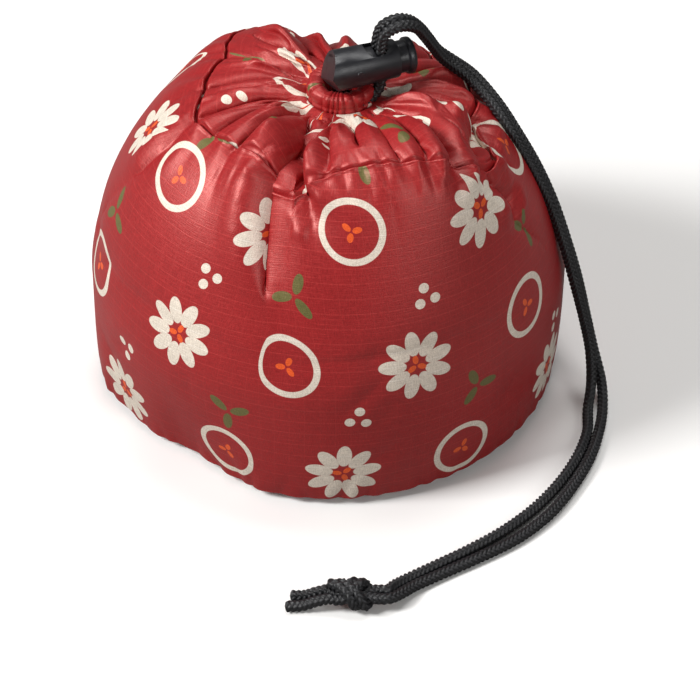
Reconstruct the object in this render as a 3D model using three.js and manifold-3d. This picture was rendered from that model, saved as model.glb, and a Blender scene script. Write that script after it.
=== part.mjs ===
// A small round drawstring bag of printed ripstop nylon, filled and pulled shut,
// with a spring cord lock on the gathers and both cord ends in one knot on the floor.
// Millimetres, +Z up, the front toward -Y, and the middle of the flat base at the origin.
import * as THREE from 'three';
import { mergeVertices } from 'three/addons/utils/BufferGeometryUtils.js';
import Module from 'manifold-3d';

const wasm = await Module();
wasm.setup();

// Driving dimensions: fits
const CLEARANCE = 0.3;
const SLIDE_CLEARANCE = 0.3;

// Driving dimensions: the cloth body
const FOOT_RADIUS = 74.5;
const BELLY_RADIUS = 77.2;
const BELLY_HEIGHT = 42;
const RIM_RADIUS = 46;
const RIM_HEIGHT = 104;
const FOOT_FLARE = 1.8;
const YOKE_TURN = 9;
const CAP_DROP = 24;
const CAP_RISE = 8;
const HEM_THICKNESS = 1.2;
const HEM_DEPTH = 2.4;
const HEM_GROOVE = 1.1;
const COLUMNS = 108;

// Driving dimensions: the base panel
const BASE_THICKNESS = 2.7;
const BASE_FLAT_RADIUS = 62;
const BASE_EDGE_HEIGHT = 1.2;
const BASE_INSET = 0.8;

// Driving dimensions: the drawstring casing and the pit inside it
const CASING_CENTRE = { x: 4, y: -1 };
const CASING_HEIGHT = 8.0;
const CASING_RADIAL_WALL = 0.7;
const CASING_FLOOR_WALL = 0.75;
const CASING_COLUMNS = 36;
const NECK_RISE = 3;
const NECK_LIP = 2.6;
const NECK_ROLL = 13;
const NECK_ROLL_HEIGHT = 3.5;
const RUFFLE = 0.5;
const CORD_RING_RADIUS = 8.2;
const PIT_DEPTH = 9;

// Driving dimensions: the braided cord and its knot
const CORD_DIAMETER = 3.5;
const CORD_BEND_RADIUS = 7;
const CORD_SIDES = 8;
const KNOT_LENGTH = 14.6;
const KNOT_RADIUS = 4.6;
const KNOT_CENTRE = { x: 7.8, y: -118.8, z: 4.7 };
const TAIL_LENGTHS = { front: 13.5, rear: 12 };

// Driving dimensions: the cord lock, along its own axis from the middle of its length
const LOCK_YAW = THREE.MathUtils.degToRad(20.6);
const LOCK_LENGTH = 28.5;
const LOCK_CENTRE = { x: 12.5, y: -2.7 };
const HOUSING_LENGTH = 22.9;
const HOUSING_RADIUS = 6.5;
const MOUTH_RADIUS = 6.0;
const PLUNGER_RADIUS = 5.1;
const FLOOR_WALL = 2.4;
const FLANGE_THICKNESS = 2.5;
const FLANGE_RADIUS = 5.8;
const PRESS_TRAVEL = 3;
const CORD_STATION = 3.3;
const STRAND_OFFSET = 1.95;
const SPRING_LENGTH = 6.4;
const SPRING_RADIUS = 3.4;
const SPRING_WIRE = 0.8;
const SPRING_TURNS = 4;

// Worked out from the values above
const CORD_RADIUS = CORD_DIAMETER / 2;
const CORD_HOLE_RADIUS = CORD_RADIUS + CLEARANCE;
const CASING_INNER = CORD_RING_RADIUS - CORD_HOLE_RADIUS - CASING_RADIAL_WALL;
const CASING_OUTER = CORD_RING_RADIUS + CORD_HOLE_RADIUS + CASING_RADIAL_WALL;
const CAP_CENTRE_HEIGHT = RIM_HEIGHT - CAP_DROP;
const NECK_LIP_HEIGHT = RIM_HEIGHT + NECK_RISE;
const CASING_SEAT_HEIGHT = NECK_LIP_HEIGHT - NECK_LIP;
const CASING_BOTTOM = CASING_SEAT_HEIGHT + CLEARANCE;
const CORD_RING_HEIGHT = CASING_BOTTOM + CASING_FLOOR_WALL + CORD_HOLE_RADIUS;
const CASING_TOP = CASING_BOTTOM + CASING_HEIGHT;
const NECK_RADIUS = CASING_OUTER + CLEARANCE;
const LOCK_HEIGHT = CASING_TOP + CLEARANCE + HOUSING_RADIUS;
const WALL_BOTTOM = BASE_THICKNESS + CLEARANCE;

// The rim, seen from above: azimuth, offset from the rim radius and from the rim height,
// how far the wall stands out and down just outside it, and how far the yoke rises inside it.
// Azimuth 0 is the front (-Y) and 90 is the right (+X).
const RIM = [
  [-180, -2, -14, 10, 12, 11],
  [-165, 0, -9, 11, 12, 9],
  [-145, 2, -2, 12, 8, 5],
  [-134, -1, 1, 14, 5, 2],
  [-119, -8, 2, 18, 4, 1],
  [-105, -7, 2, 18, 4, 1],
  [-86, -6, 2, 18, 4, 1],
  [-71, -2, 2, 17, 6, 1],
  [-55, -3, 4, 15, 8, 1],
  [-44, -4, 5, 14, 10, 1],
  [-33, -4, 5, 13, 12, 1],
  [-24, -2, 4, 12, 14, 1],
  [-17, 1, 1.5, 10, 16, 2],
  [-12, 1, -4, 9, 18, 4],
  [-7, 1.5, 0, 8, 18, 2],
  [-2, 1.5, 4.5, 8, 19, 1],
  [4, 2, 8.5, 8, 20, 0],
  [20, 4.5, 11, 8, 20, -1],
  [38, 10.5, 9, 8, 20, -1],
  [46, 12, 3.5, 8, 18, 1],
  [56, 12, -5, 10, 15, 4],
  [66, 5, -6, 14, 12, 5],
  [80, 0, -4.5, 16, 10, 5],
  [93, 0, -4, 16, 10, 5],
  [115, -1, -4, 14, 10, 5],
  [130, -1, -5, 13, 10, 6],
  [150, -3, -9, 11, 12, 8],
  [165, -3, -13, 10, 12, 10],
];

// The foot: azimuth, offsets from the foot radius and the belly radius, fullness above the belly.
const FOOT = [
  [-180, 0, -2.2, 0.24],
  [-130, 0.5, -2.6, 0.24],
  [-110, 1, -2, 0.26],
  [-90, 1.5, 0, 0.3],
  [-73, 2, 0.2, 0.36],
  [-64, -1, 0, 0.36],
  [-50, -3, -0.2, 0.36],
  [-41, -6, -0.6, 0.36],
  [-29, -4, -0.6, 0.36],
  [-18, -0.5, -0.2, 0.36],
  [-5, 0.5, 0, 0.36],
  [60, 0, -0.2, 0.36],
  [85, 0, -0.6, 0.32],
  [110, 0, -2, 0.26],
  [140, 0, -2.6, 0.24],
];

// Stations up the cloth: 0 is the foot seam, BELLY_AT the widest place, RIM_AT the rim, 1 the neck.
const BELLY_AT = 0.3;
const RIM_AT = 0.7;

// The folds: a half width in mm, then azimuth, station and depth along each valley.
const FOLDS = [
  // the deep valley left of the middle, from the neck down over the rim
  { width: 4.6, along: [[-31, 0.98, 2], [-25, 0.93, 3.5], [-19, 0.87, 5.5], [-17, 0.79, 6],
    [-17, 0.7, 5.5], [-17.5, 0.65, 6.5], [-17.5, 0.6, 5.5], [-16, 0.53, 2]] },
  { width: 2.4, along: [[-22, 0.94, 1.5], [-15, 0.87, 2.5], [-11, 0.78, 3], [-9, 0.69, 2]] },
  // the tuck on the left shoulder, below the rim
  { width: 3, along: [[-84, 0.4, 0.5], [-81, 0.44, 1.5], [-70, 0.56, 2], [-68, 0.63, 2], [-71, 0.7, 1.5]] },
  // gathers of the left yoke
  { width: 3, along: [[-90, 0.74, 2], [-94, 0.82, 3], [-103, 0.9, 3], [-118, 0.99, 2]] },
  { width: 3, along: [[-73, 0.74, 2], [-74, 0.82, 2.5], [-80, 0.9, 2.5], [-73, 0.99, 2]] },
  { width: 2.6, along: [[-57, 0.72, 1], [-60, 0.82, 2], [-64, 0.9, 2], [-59, 0.99, 1.5]] },
  { width: 2.6, along: [[-43, 0.72, 1], [-42, 0.82, 2], [-46, 0.91, 2], [-50, 0.98, 1.5]] },
  { width: 2.4, along: [[-30, 0.71, 1.5], [-29, 0.8, 2.2], [-32, 0.9, 2.2], [-39, 0.98, 1.5]] },
  // gathers of the front yoke
  { width: 2.4, along: [[-12, 0.98, 2], [-2, 0.89, 2.5], [0, 0.77, 1.5], [-2, 0.71, 1]] },
  { width: 2.4, along: [[4, 0.99, 2], [9, 0.91, 2], [12, 0.81, 1]] },
  { width: 2.4, along: [[29, 0.99, 2], [27, 0.9, 2.2], [26, 0.78, 1.5], [26, 0.71, 1]] },
  { width: 2.6, along: [[45, 0.99, 2], [41, 0.9, 2.5], [37, 0.8, 2.5], [35, 0.72, 1.5]] },
  { width: 3, along: [[60, 0.99, 2], [58, 0.91, 3], [48, 0.82, 3.5], [43, 0.7, 3]] },
  // gathers of the right yoke, and the tuck behind the right end of the front panel
  { width: 3, along: [[83, 0.99, 2], [82, 0.91, 3], [81, 0.82, 3], [83, 0.7, 2]] },
  { width: 3.4, along: [[85, 0.7, 2], [72, 0.72, 4], [57, 0.76, 3], [52, 0.74, 1]] },
  { width: 3.4, along: [[54, 0.68, 3], [60, 0.62, 3], [58, 0.57, 2], [69, 0.45, 1]] },
  // gathers of the back left yoke
  { width: 2.6, along: [[-130, 0.99, 2], [-126, 0.95, 2.5], [-123, 0.88, 1.5]] },
  { width: 2.6, along: [[-145, 0.97, 2], [-143, 0.9, 2.5], [-141, 0.82, 1.5]] },
  { width: 3, along: [[-156, 0.95, 2], [-158, 0.85, 3], [-155, 0.75, 2]] },
];
// Gathers of the back right, evenly fanned from the neck down over the rim.
const BACK_FOLDS = { first: 102, last: 198, count: 7, width: 3.4, depth: 3, swing: 4 };
for (let i = 0; i < BACK_FOLDS.count; i += 1) {
  const azimuth = BACK_FOLDS.first + (BACK_FOLDS.last - BACK_FOLDS.first) * i / (BACK_FOLDS.count - 1);
  const side = i % 2 ? 1 : -1;
  const depth = BACK_FOLDS.depth;
  FOLDS.push({ width: BACK_FOLDS.width, along: [[azimuth, 0.97, depth * 0.7], [azimuth, 0.85, depth],
    [azimuth + side * BACK_FOLDS.swing, 0.7, depth * 0.8], [azimuth, 0.55 - side * 0.05, 0]] });
}
const FOLD_SHOULDER = 0.4;
const NECK_FADE = 0.06;

// Value of one column of a table of azimuths, as a smooth closed curve.
function around(table, azimuth, column) {
  const count = table.length;
  const place = THREE.MathUtils.euclideanModulo(azimuth + 180, 360) - 180;
  let i = count - 1;
  while (i > 0 && table[i][0] > place) i -= 1;
  const row = (k) => {
    const turns = Math.floor(k / count);
    const entry = table[k - turns * count];
    return [entry[0] + turns * 360, entry[column]];
  };
  const [a0, v0] = row(i - 1);
  const [a1, v1] = row(i);
  const [a2, v2] = row(i + 1);
  const [a3, v3] = row(i + 2);
  const span = a2 - a1;
  const f = (place - a1) / span;
  const m1 = (v2 - v0) / (a2 - a0) * span;
  const m2 = (v3 - v1) / (a3 - a1) * span;
  return (2 * f ** 3 - 3 * f ** 2 + 1) * v1 + (f ** 3 - 2 * f ** 2 + f) * m1
    + (3 * f ** 2 - 2 * f ** 3) * v2 + (f ** 3 - f ** 2) * m2;
}

function polar(azimuth, radius, height, centre = { x: 0, y: 0 }) {
  const angle = THREE.MathUtils.degToRad(azimuth);
  return new THREE.Vector3(centre.x + radius * Math.sin(angle), centre.y - radius * Math.cos(angle), height);
}

// The smooth body before any folds: three curved stretches, foot to belly, belly to rim, rim to neck.
function smoothBody(azimuth, station) {
  const rimRadius = RIM_RADIUS + around(RIM, azimuth, 1);
  const rimHeight = RIM_HEIGHT + around(RIM, azimuth, 2);
  const [standOut, standDown, yokeRise] = [3, 4, 5].map((column) => around(RIM, azimuth, column));
  const footRadius = FOOT_RADIUS + around(FOOT, azimuth, 1);
  const belly = BELLY_RADIUS + around(FOOT, azimuth, 2);
  const fullness = around(FOOT, azimuth, 3);
  const foot = [footRadius, WALL_BOTTOM];
  const widest = [belly, BELLY_HEIGHT];
  const rim = [rimRadius, rimHeight];
  let points;
  let along;
  if (station < BELLY_AT) {
    points = [foot, [footRadius + FOOT_FLARE, WALL_BOTTOM + BELLY_HEIGHT / 4],
      [belly, BELLY_HEIGHT * 2 / 3], widest];
    along = station / BELLY_AT;
  } else if (station < RIM_AT) {
    points = [widest, [belly, BELLY_HEIGHT + fullness * (rimHeight - BELLY_HEIGHT)],
      [rimRadius + standOut, rimHeight - standDown], rim];
    along = (station - BELLY_AT) / (RIM_AT - BELLY_AT);
  } else {
    points = [rim, [rimRadius - YOKE_TURN, rimHeight + yokeRise],
      [NECK_RADIUS + NECK_ROLL, NECK_LIP_HEIGHT + NECK_ROLL_HEIGHT], [NECK_RADIUS, NECK_LIP_HEIGHT]];
    along = (station - RIM_AT) / (1 - RIM_AT);
  }
  const curve = new THREE.CubicBezierCurve(...points.map(([r, z]) => new THREE.Vector2(r, z)));
  const place = curve.getPoint(along);
  const shift = THREE.MathUtils.smoothstep(station, RIM_AT, 1);
  return polar(azimuth, place.x, place.y, { x: CASING_CENTRE.x * shift, y: CASING_CENTRE.y * shift });
}

function outward(azimuth, station) {
  const low = Math.max(station - 0.01, 0);
  const high = Math.min(station + 0.01, 1);
  const sideways = smoothBody(azimuth + 1, station).sub(smoothBody(azimuth - 1, station));
  const upward = smoothBody(azimuth, high).sub(smoothBody(azimuth, low));
  return sideways.cross(upward).normalize();
}

// Each fold's valley as points on the smooth body.
const valleys = FOLDS.map(({ width, along }) => ({
  width,
  depths: along.map((node) => node[2]),
  points: along.map(([azimuth, station]) => smoothBody(azimuth, station)),
}));

// How far the folds push a place on the smooth body out (above 0) or in.
function foldDepth(place) {
  const segment = new THREE.Line3();
  const nearest = new THREE.Vector3();
  let total = 0;
  for (const { width, depths, points } of valleys) {
    let best = Infinity;
    let depth = 0;
    for (let i = 0; i + 1 < points.length; i += 1) {
      segment.set(points[i], points[i + 1]);
      const share = segment.closestPointToPointParameter(place, true);
      const distance = segment.at(share, nearest).distanceTo(place);
      if (distance < best) {
        best = distance;
        depth = THREE.MathUtils.lerp(depths[i], depths[i + 1], share);
      }
    }
    const valley = Math.exp(-((best / width) ** 2));
    const shoulder = Math.exp(-(((best - 1.8 * width) / (1.1 * width)) ** 2));
    total += depth * (FOLD_SHOULDER * shoulder - valley);
  }
  return total;
}

function cloth(azimuth, station) {
  const place = smoothBody(azimuth, station);
  const fade = Math.min((1 - station) / NECK_FADE, station / 0.1, 1);
  return place.clone().addScaledVector(outward(azimuth, station), foldDepth(place) * fade);
}

// A closed solid through rings of points, from a first middle point to a last one.
// Each four-cornered face is split along its shorter diagonal.
function loft(first, rings, last) {
  const count = rings[0].length;
  const vertices = [first, ...rings.flat(), last];
  const at = (ring, column) => 1 + ring * count + (column % count);
  const end = vertices.length - 1;
  const faces = [];
  for (let c = 0; c < count; c += 1) {
    faces.push(0, at(0, c + 1), at(0, c));
    faces.push(end, at(rings.length - 1, c), at(rings.length - 1, c + 1));
    for (let r = 0; r + 1 < rings.length; r += 1) {
      const [low, lowNext, high, highNext] = [at(r, c), at(r, c + 1), at(r + 1, c), at(r + 1, c + 1)];
      const rising = vertices[low].distanceTo(vertices[highNext]);
      const falling = vertices[lowNext].distanceTo(vertices[high]);
      if (rising < falling) faces.push(low, lowNext, highNext, low, highNext, high);
      else faces.push(low, lowNext, high, lowNext, highNext, high);
    }
  }
  return solid(vertices, faces);
}

function solid(vertices, faces) {
  const geometry = new THREE.BufferGeometry();
  const numbers = vertices.flatMap((v) => [v.x, v.y, v.z]);
  geometry.setAttribute('position', new THREE.Float32BufferAttribute(numbers, 3));
  geometry.setIndex(faces);
  geometry.computeVertexNormals();
  return geometry;
}

function ringOf(count, place) {
  return Array.from({ length: count }, (_, i) => place(-180 + 360 * i / count));
}

// Booleans
function toManifold(geometry) {
  const bare = geometry.clone();
  bare.deleteAttribute('normal');
  bare.deleteAttribute('uv');
  const merged = mergeVertices(bare, 1e-4);
  return new wasm.Manifold(new wasm.Mesh({
    numProp: 3,
    vertProperties: new Float32Array(merged.attributes.position.array),
    triVerts: new Uint32Array(merged.index.array),
  }));
}

function toGeometry(manifold) {
  const mesh = manifold.getMesh();
  const geometry = new THREE.BufferGeometry();
  geometry.setAttribute('position', new THREE.BufferAttribute(mesh.vertProperties, 3));
  geometry.setIndex(new THREE.BufferAttribute(mesh.triVerts, 1));
  geometry.computeVertexNormals();
  return geometry;
}

function cut(body, ...tools) {
  return toGeometry(tools.reduce((rest, tool) => rest.subtract(toManifold(tool)), toManifold(body)));
}

// Tubes
function disc(radius, sides) {
  const points = Array.from({ length: sides }, (_, i) => {
    const angle = 2 * Math.PI * (i + 0.5) / sides;
    return new THREE.Vector2(radius * Math.cos(angle), radius * Math.sin(angle));
  });
  return new THREE.Shape(points);
}

function tube(points, radius, steps, sides = CORD_SIDES) {
  const path = new THREE.CatmullRomCurve3(points, false, 'centripetal');
  return new THREE.ExtrudeGeometry(disc(radius, sides), { steps, extrudePath: path, curveSegments: 1 });
}

function vector(list) {
  return list.map(([x, y, z]) => new THREE.Vector3(x, y, z));
}

// The base panel: a shallow dish of cloth under the wall, flat where it stands.
function basePanel() {
  const edge = (drop) => (azimuth) => {
    const radius = FOOT_RADIUS + around(FOOT, azimuth, 1) - BASE_INSET;
    return polar(azimuth, radius, BASE_THICKNESS - drop);
  };
  const flat = ringOf(COLUMNS, (azimuth) => polar(azimuth, BASE_FLAT_RADIUS, 0));
  const lower = ringOf(COLUMNS, edge(BASE_THICKNESS - BASE_EDGE_HEIGHT));
  const upper = ringOf(COLUMNS, edge(0));
  const middle = new THREE.Vector3();
  return loft(middle, [flat, lower, upper], new THREE.Vector3(0, 0, BASE_THICKNESS));
}

// The top of the filling under the yoke: a shallow cone from inside the rim to the middle.
const capMiddle = new THREE.Vector3(CASING_CENTRE.x, CASING_CENTRE.y, CAP_CENTRE_HEIGHT);
const CAP_SHARES = [0.2, 0.6];
const CAP_GAP = CLEARANCE + 0.1;

function hemPoint(azimuth, inset, drop) {
  const rim = cloth(azimuth, RIM_AT);
  const inward = new THREE.Vector3(CASING_CENTRE.x - rim.x, CASING_CENTRE.y - rim.y, 0).normalize();
  rim.addScaledVector(inward, inset);
  rim.z -= drop;
  return rim;
}

function capRings(lift) {
  return CAP_SHARES.map((share) => ringOf(COLUMNS, (azimuth) => {
    const place = hemPoint(azimuth, HEM_THICKNESS, HEM_DEPTH).lerp(capMiddle, share);
    return place.setZ(CAP_CENTRE_HEIGHT + CAP_RISE * (1 - share) + lift);
  }));
}

// The wall panel, from the foot seam up to the hem of the rim, with the filling it holds.
function wallPanel() {
  const stations = [0, 0.03, 0.08, 0.15, 0.23, 0.3, 0.37, 0.43, 0.49, 0.54, 0.58, 0.62, 0.65, 0.675, RIM_AT];
  const rings = stations.map((station) => ringOf(COLUMNS, (azimuth) => cloth(azimuth, station)));
  rings.push(ringOf(COLUMNS, (azimuth) => hemPoint(azimuth, HEM_THICKNESS, 0)));
  rings.push(ringOf(COLUMNS, (azimuth) => hemPoint(azimuth, HEM_THICKNESS, HEM_DEPTH)));
  rings.push(...capRings(0));
  return loft(new THREE.Vector3(0, 0, WALL_BOTTOM), rings, capMiddle);
}

// The gathered yoke, from behind the hem in to the neck, with the pit at its middle.
function topYoke() {
  const inset = HEM_THICKNESS + HEM_GROOVE;
  const rings = capRings(CAP_GAP).reverse();
  rings.push(ringOf(COLUMNS, (azimuth) => hemPoint(azimuth, inset, HEM_DEPTH - CAP_GAP)));
  rings.push(ringOf(COLUMNS, (azimuth) => hemPoint(azimuth, inset, HEM_DEPTH / 4)));
  for (const station of [0.735, 0.765, 0.8, 0.84, 0.88, 0.92, 0.96, 1]) {
    rings.push(ringOf(COLUMNS, (azimuth) => cloth(azimuth, station)));
  }
  const neck = (radius, height) => ringOf(COLUMNS,
    (azimuth) => polar(azimuth, radius, height, CASING_CENTRE));
  rings.push(neck(NECK_RADIUS, CASING_SEAT_HEIGHT));
  rings.push(neck(CASING_INNER, CASING_SEAT_HEIGHT));
  rings.push(neck(CASING_INNER * 0.7, CASING_SEAT_HEIGHT - PIT_DEPTH * 0.8));
  const below = capMiddle.clone().add(new THREE.Vector3(0, 0, CAP_GAP));
  const pit = new THREE.Vector3(CASING_CENTRE.x, CASING_CENTRE.y, CASING_SEAT_HEIGHT - PIT_DEPTH);
  const lifts = [0, 0.5, 1];
  const walls = lifts.map((share) => wallPanel().translate(0, 0, share * CLEARANCE));
  return cut(loft(below, rings, pit), ...walls, ...exitTubes(CORD_HOLE_RADIUS));
}

// The cord's way out of the casing and up through the lock, one for each strand.
const lockMiddle = new THREE.Vector3(LOCK_CENTRE.x, LOCK_CENTRE.y, LOCK_HEIGHT);
const lockAlong = new THREE.Vector3(Math.cos(LOCK_YAW), Math.sin(LOCK_YAW), 0);
const lockAcross = new THREE.Vector3(-Math.sin(LOCK_YAW), Math.cos(LOCK_YAW), 0);
const LOCK_TOP = LOCK_HEIGHT + HOUSING_RADIUS;

function risingStrand(side) {
  const foot = lockMiddle.clone().addScaledVector(lockAlong, CORD_STATION);
  foot.addScaledVector(lockAcross, side * STRAND_OFFSET);
  const dx = foot.x - CASING_CENTRE.x;
  const dy = foot.y - CASING_CENTRE.y;
  const distance = Math.hypot(dx, dy);
  const angle = Math.atan2(dy, dx) + side * Math.acos(CORD_RING_RADIUS / distance);
  const leave = new THREE.Vector3(CASING_CENTRE.x + CORD_RING_RADIUS * Math.cos(angle),
    CASING_CENTRE.y + CORD_RING_RADIUS * Math.sin(angle), CORD_RING_HEIGHT);
  const toward = new THREE.Vector3(foot.x - leave.x, foot.y - leave.y, 0).normalize();
  const points = [leave];
  const bend = new THREE.Vector3(foot.x, foot.y, CORD_RING_HEIGHT);
  bend.addScaledVector(toward, -CORD_BEND_RADIUS);
  for (const turn of [0, 22.5, 45, 67.5, 90]) {
    const a = THREE.MathUtils.degToRad(turn);
    const point = bend.clone().addScaledVector(toward, CORD_BEND_RADIUS * Math.sin(a));
    point.z += CORD_BEND_RADIUS * (1 - Math.cos(a));
    points.push(point);
  }
  return { angle, foot, points };
}
const risers = { front: risingStrand(-1), rear: risingStrand(1) };

function exitTubes(radius) {
  return Object.values(risers).map(({ foot, points }) => {
    const back = points[0].clone().lerp(points[1], -0.3);
    const top = new THREE.Vector3(foot.x, foot.y, LOCK_HEIGHT);
    return tube([back, ...points, top], radius, 12, 10);
  });
}

// The casing: a ruffled ring of cloth at the neck, with the cord's tunnel and its two ways out.
function drawstringCasing() {
  const ruffle = (azimuth) => {
    const angle = THREE.MathUtils.degToRad(azimuth);
    return RUFFLE * (1 + 0.6 * Math.sin(11 * angle) + 0.4 * Math.sin(7 * angle));
  };
  const wall = CASING_RADIAL_WALL;
  const section = [
    [CASING_INNER, CASING_BOTTOM, 0],
    [CASING_OUTER, CASING_BOTTOM, 0],
    [CASING_OUTER, CORD_RING_HEIGHT, 0],
    [CASING_OUTER - wall, CASING_TOP - 2 * wall, 0.6],
    [CASING_OUTER - 2 * wall, CASING_TOP - wall / 3, 0.4],
    [CASING_INNER + 2 * wall, CASING_TOP, 0],
    [CASING_INNER + wall / 2, CASING_TOP - 2 * wall, 0],
  ];
  const vertices = [];
  const faces = [];
  for (let c = 0; c < CASING_COLUMNS; c += 1) {
    const azimuth = 360 * c / CASING_COLUMNS;
    for (const [radius, height, share] of section) {
      vertices.push(polar(azimuth, radius - share * ruffle(azimuth), height, CASING_CENTRE));
    }
    const next = (c + 1) % CASING_COLUMNS;
    for (let s = 0; s < section.length; s += 1) {
      const t = (s + 1) % section.length;
      const [a, b] = [c * section.length, next * section.length];
      faces.push(a + s, b + s, b + t, a + s, b + t, a + t);
    }
  }
  const ring = solid(vertices, faces);
  return cut(ring, tunnel(), ...exitTubes(CORD_HOLE_RADIUS));
}

const TUNNEL_SIDES = 10;

function tunnel() {
  const profile = Array.from({ length: TUNNEL_SIDES + 1 }, (_, i) => {
    const angle = -2 * Math.PI * i / TUNNEL_SIDES;
    const radius = CORD_RING_RADIUS + CORD_HOLE_RADIUS * Math.cos(angle);
    return new THREE.Vector2(radius, CORD_HOLE_RADIUS * Math.sin(angle));
  });
  profile[TUNNEL_SIDES] = profile[0].clone();
  const torus = new THREE.LatheGeometry(profile.reverse(), CASING_COLUMNS);
  torus.rotateX(Math.PI / 2);
  return torus.translate(CASING_CENTRE.x, CASING_CENTRE.y, CORD_RING_HEIGHT);
}

// The run of cord inside the casing, the long way round from one strand to the other.
function casingCord() {
  const from = risers.rear.angle;
  const to = risers.front.angle + 2 * Math.PI;
  const trim = CLEARANCE / CORD_RING_RADIUS;
  const points = Array.from({ length: 19 }, (_, i) => {
    const angle = THREE.MathUtils.lerp(from + trim, to - trim, i / 18);
    return new THREE.Vector3(CASING_CENTRE.x + CORD_RING_RADIUS * Math.cos(angle),
      CASING_CENTRE.y + CORD_RING_RADIUS * Math.sin(angle), CORD_RING_HEIGHT);
  });
  return tube(points, CORD_RADIUS, 16);
}

// The two strands: up through the lock, over in a loop, down the right side and along the floor.
const FRONT_STRAND = vector([
  [17.6, -3.4, 131], [21.9, -2.6, 133.2], [26.4, 0, 131.2],
  [29.6, 3.4, 125.4], [32.4, 6.8, 119], [35.4, 9.8, 112.8], [38.8, 10.8, 109],
  [43.6, 8.6, 106.2], [51.2, 1, 101.6], [58, -5.9, 93.8], [64.2, -10, 83.8], [69.8, -13.2, 72.8],
  [74.4, -16.6, 60.2], [78.4, -18.6, 46], [82.2, -19.2, 31], [85, -20.4, 17.4], [85.6, -25, 7],
  [84.4, -31.8, 2.2], [83.6, -42, 1.8], [80, -53.4, 1.8], [73.8, -65.6, 1.8], [65.4, -77.4, 1.8],
  [55.2, -87.8, 1.8], [43.8, -96.6, 1.8], [32.2, -104.2, 1.8], [24.4, -109.6, 2.2],
  [20, -114, 3.6],
]);
const REAR_STRAND = vector([
  [16.4, 0.7, 130.8], [20.6, 1.2, 133.2], [24.6, 3.6, 131.4],
  [28, 7, 126.4], [31, 10.2, 120], [34, 13.2, 113.6], [38.6, 14.8, 108.8],
  [45.2, 12.3, 105], [53, 4.2, 99.8], [59.4, -2.4, 92.6], [65.4, -6.4, 83.2], [70.6, -9.6, 72.4],
  [75.2, -13, 59.8], [79.4, -15, 45.8], [82.8, -15.6, 30.8], [86, -16.8, 16.8], [89.2, -22.2, 5.4],
  [89.2, -31.6, 1.9], [87.2, -42.6, 1.8], [83.6, -54.8, 1.8], [77.6, -67.6, 1.8], [69.6, -80.4, 1.8],
  [58.8, -91.6, 1.8], [46.2, -100.2, 1.8], [34, -107.6, 1.8], [26.2, -112.8, 2.2],
  [21.4, -117.8, 3.6],
]);
const KNOT_SPREAD = 1.85;

function knotFace(end, side, gap) {
  return new THREE.Vector3(KNOT_CENTRE.x + end * (KNOT_LENGTH / 2 + gap), KNOT_CENTRE.y + side * KNOT_SPREAD,
    KNOT_CENTRE.z);
}

// The whole way of one strand, from the casing to the knot.
function route({ foot, points }, strand, side) {
  const shaft = [0.4, 1].map((share) => new THREE.Vector3(foot.x, foot.y,
    THREE.MathUtils.lerp(points.at(-1).z, LOCK_TOP, share)));
  const arrive = [3, 1.6, CLEARANCE].map((gap) => knotFace(1, side, gap));
  return new THREE.CatmullRomCurve3([...points, ...shaft, ...strand, ...arrive], false, 'centripetal');
}

// A stretch of a route between two lengths along it.
function stretch(way, from, to, steps) {
  const total = way.getLength();
  const count = steps * 4;
  const points = Array.from({ length: count + 1 }, (_, i) => {
    const length = THREE.MathUtils.lerp(from, Math.min(to, total), i / count);
    return way.getPointAt(THREE.MathUtils.clamp(length / total, 0, 1));
  });
  return tube(points, CORD_RADIUS, steps);
}

function tail(side, length) {
  const start = knotFace(-1, side, CLEARANCE);
  const rest = CORD_RADIUS + 0.05;
  const fall = rest - KNOT_CENTRE.z;
  const steps = [[0, 0, 0], [-0.06, 0, 0], [-0.12, 0, 0], [-0.6, 0, 0.9], [-1, 0.3 * side, 1]];
  const points = steps.map(([share, sideways, down]) => start.clone()
    .add(new THREE.Vector3(share * length, sideways, down * fall)));
  return tube(points, CORD_RADIUS, TAIL_STEPS);
}

function knot() {
  const half = KNOT_LENGTH / 2;
  const end = KNOT_RADIUS * 0.85;
  const profile = [[0, -half], [end, -half], [KNOT_RADIUS, -half * 0.6],
    [KNOT_RADIUS, half * 0.6], [end, half], [0, half]];
  const lump = new THREE.LatheGeometry(profile.map(([r, y]) => new THREE.Vector2(r, y)), 16);
  lump.rotateZ(-Math.PI / 2);
  return lump.translate(KNOT_CENTRE.x, KNOT_CENTRE.y, KNOT_CENTRE.z);
}

// The cord lock, drawn along Y from the middle of its length and then laid on its own axis.
const LOCK_HALF = LOCK_LENGTH / 2;
const MOUTH_AT = -LOCK_HALF + HOUSING_LENGTH;
const BORE_RADIUS = PLUNGER_RADIUS + SLIDE_CLEARANCE;
const BORE_FLOOR_AT = -LOCK_HALF + FLOOR_WALL;
const PLUNGER_INNER_AT = BORE_FLOOR_AT + SPRING_LENGTH + 2 * CLEARANCE;
const SLOT_LENGTH = CORD_DIAMETER + 2 * CLEARANCE + PRESS_TRAVEL;
const HOUSING_SLOT_AT = CORD_STATION + CORD_RADIUS + CLEARANCE - SLOT_LENGTH / 2;
const PLUNGER_SLOT_AT = HOUSING_SLOT_AT + PRESS_TRAVEL;
const SLOT_HALF_WIDTH = STRAND_OFFSET + CORD_RADIUS + CLEARANCE;

function turned(profile, sides = 28) {
  return new THREE.LatheGeometry(profile.map(([r, y]) => new THREE.Vector2(r, y)), sides);
}

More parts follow.
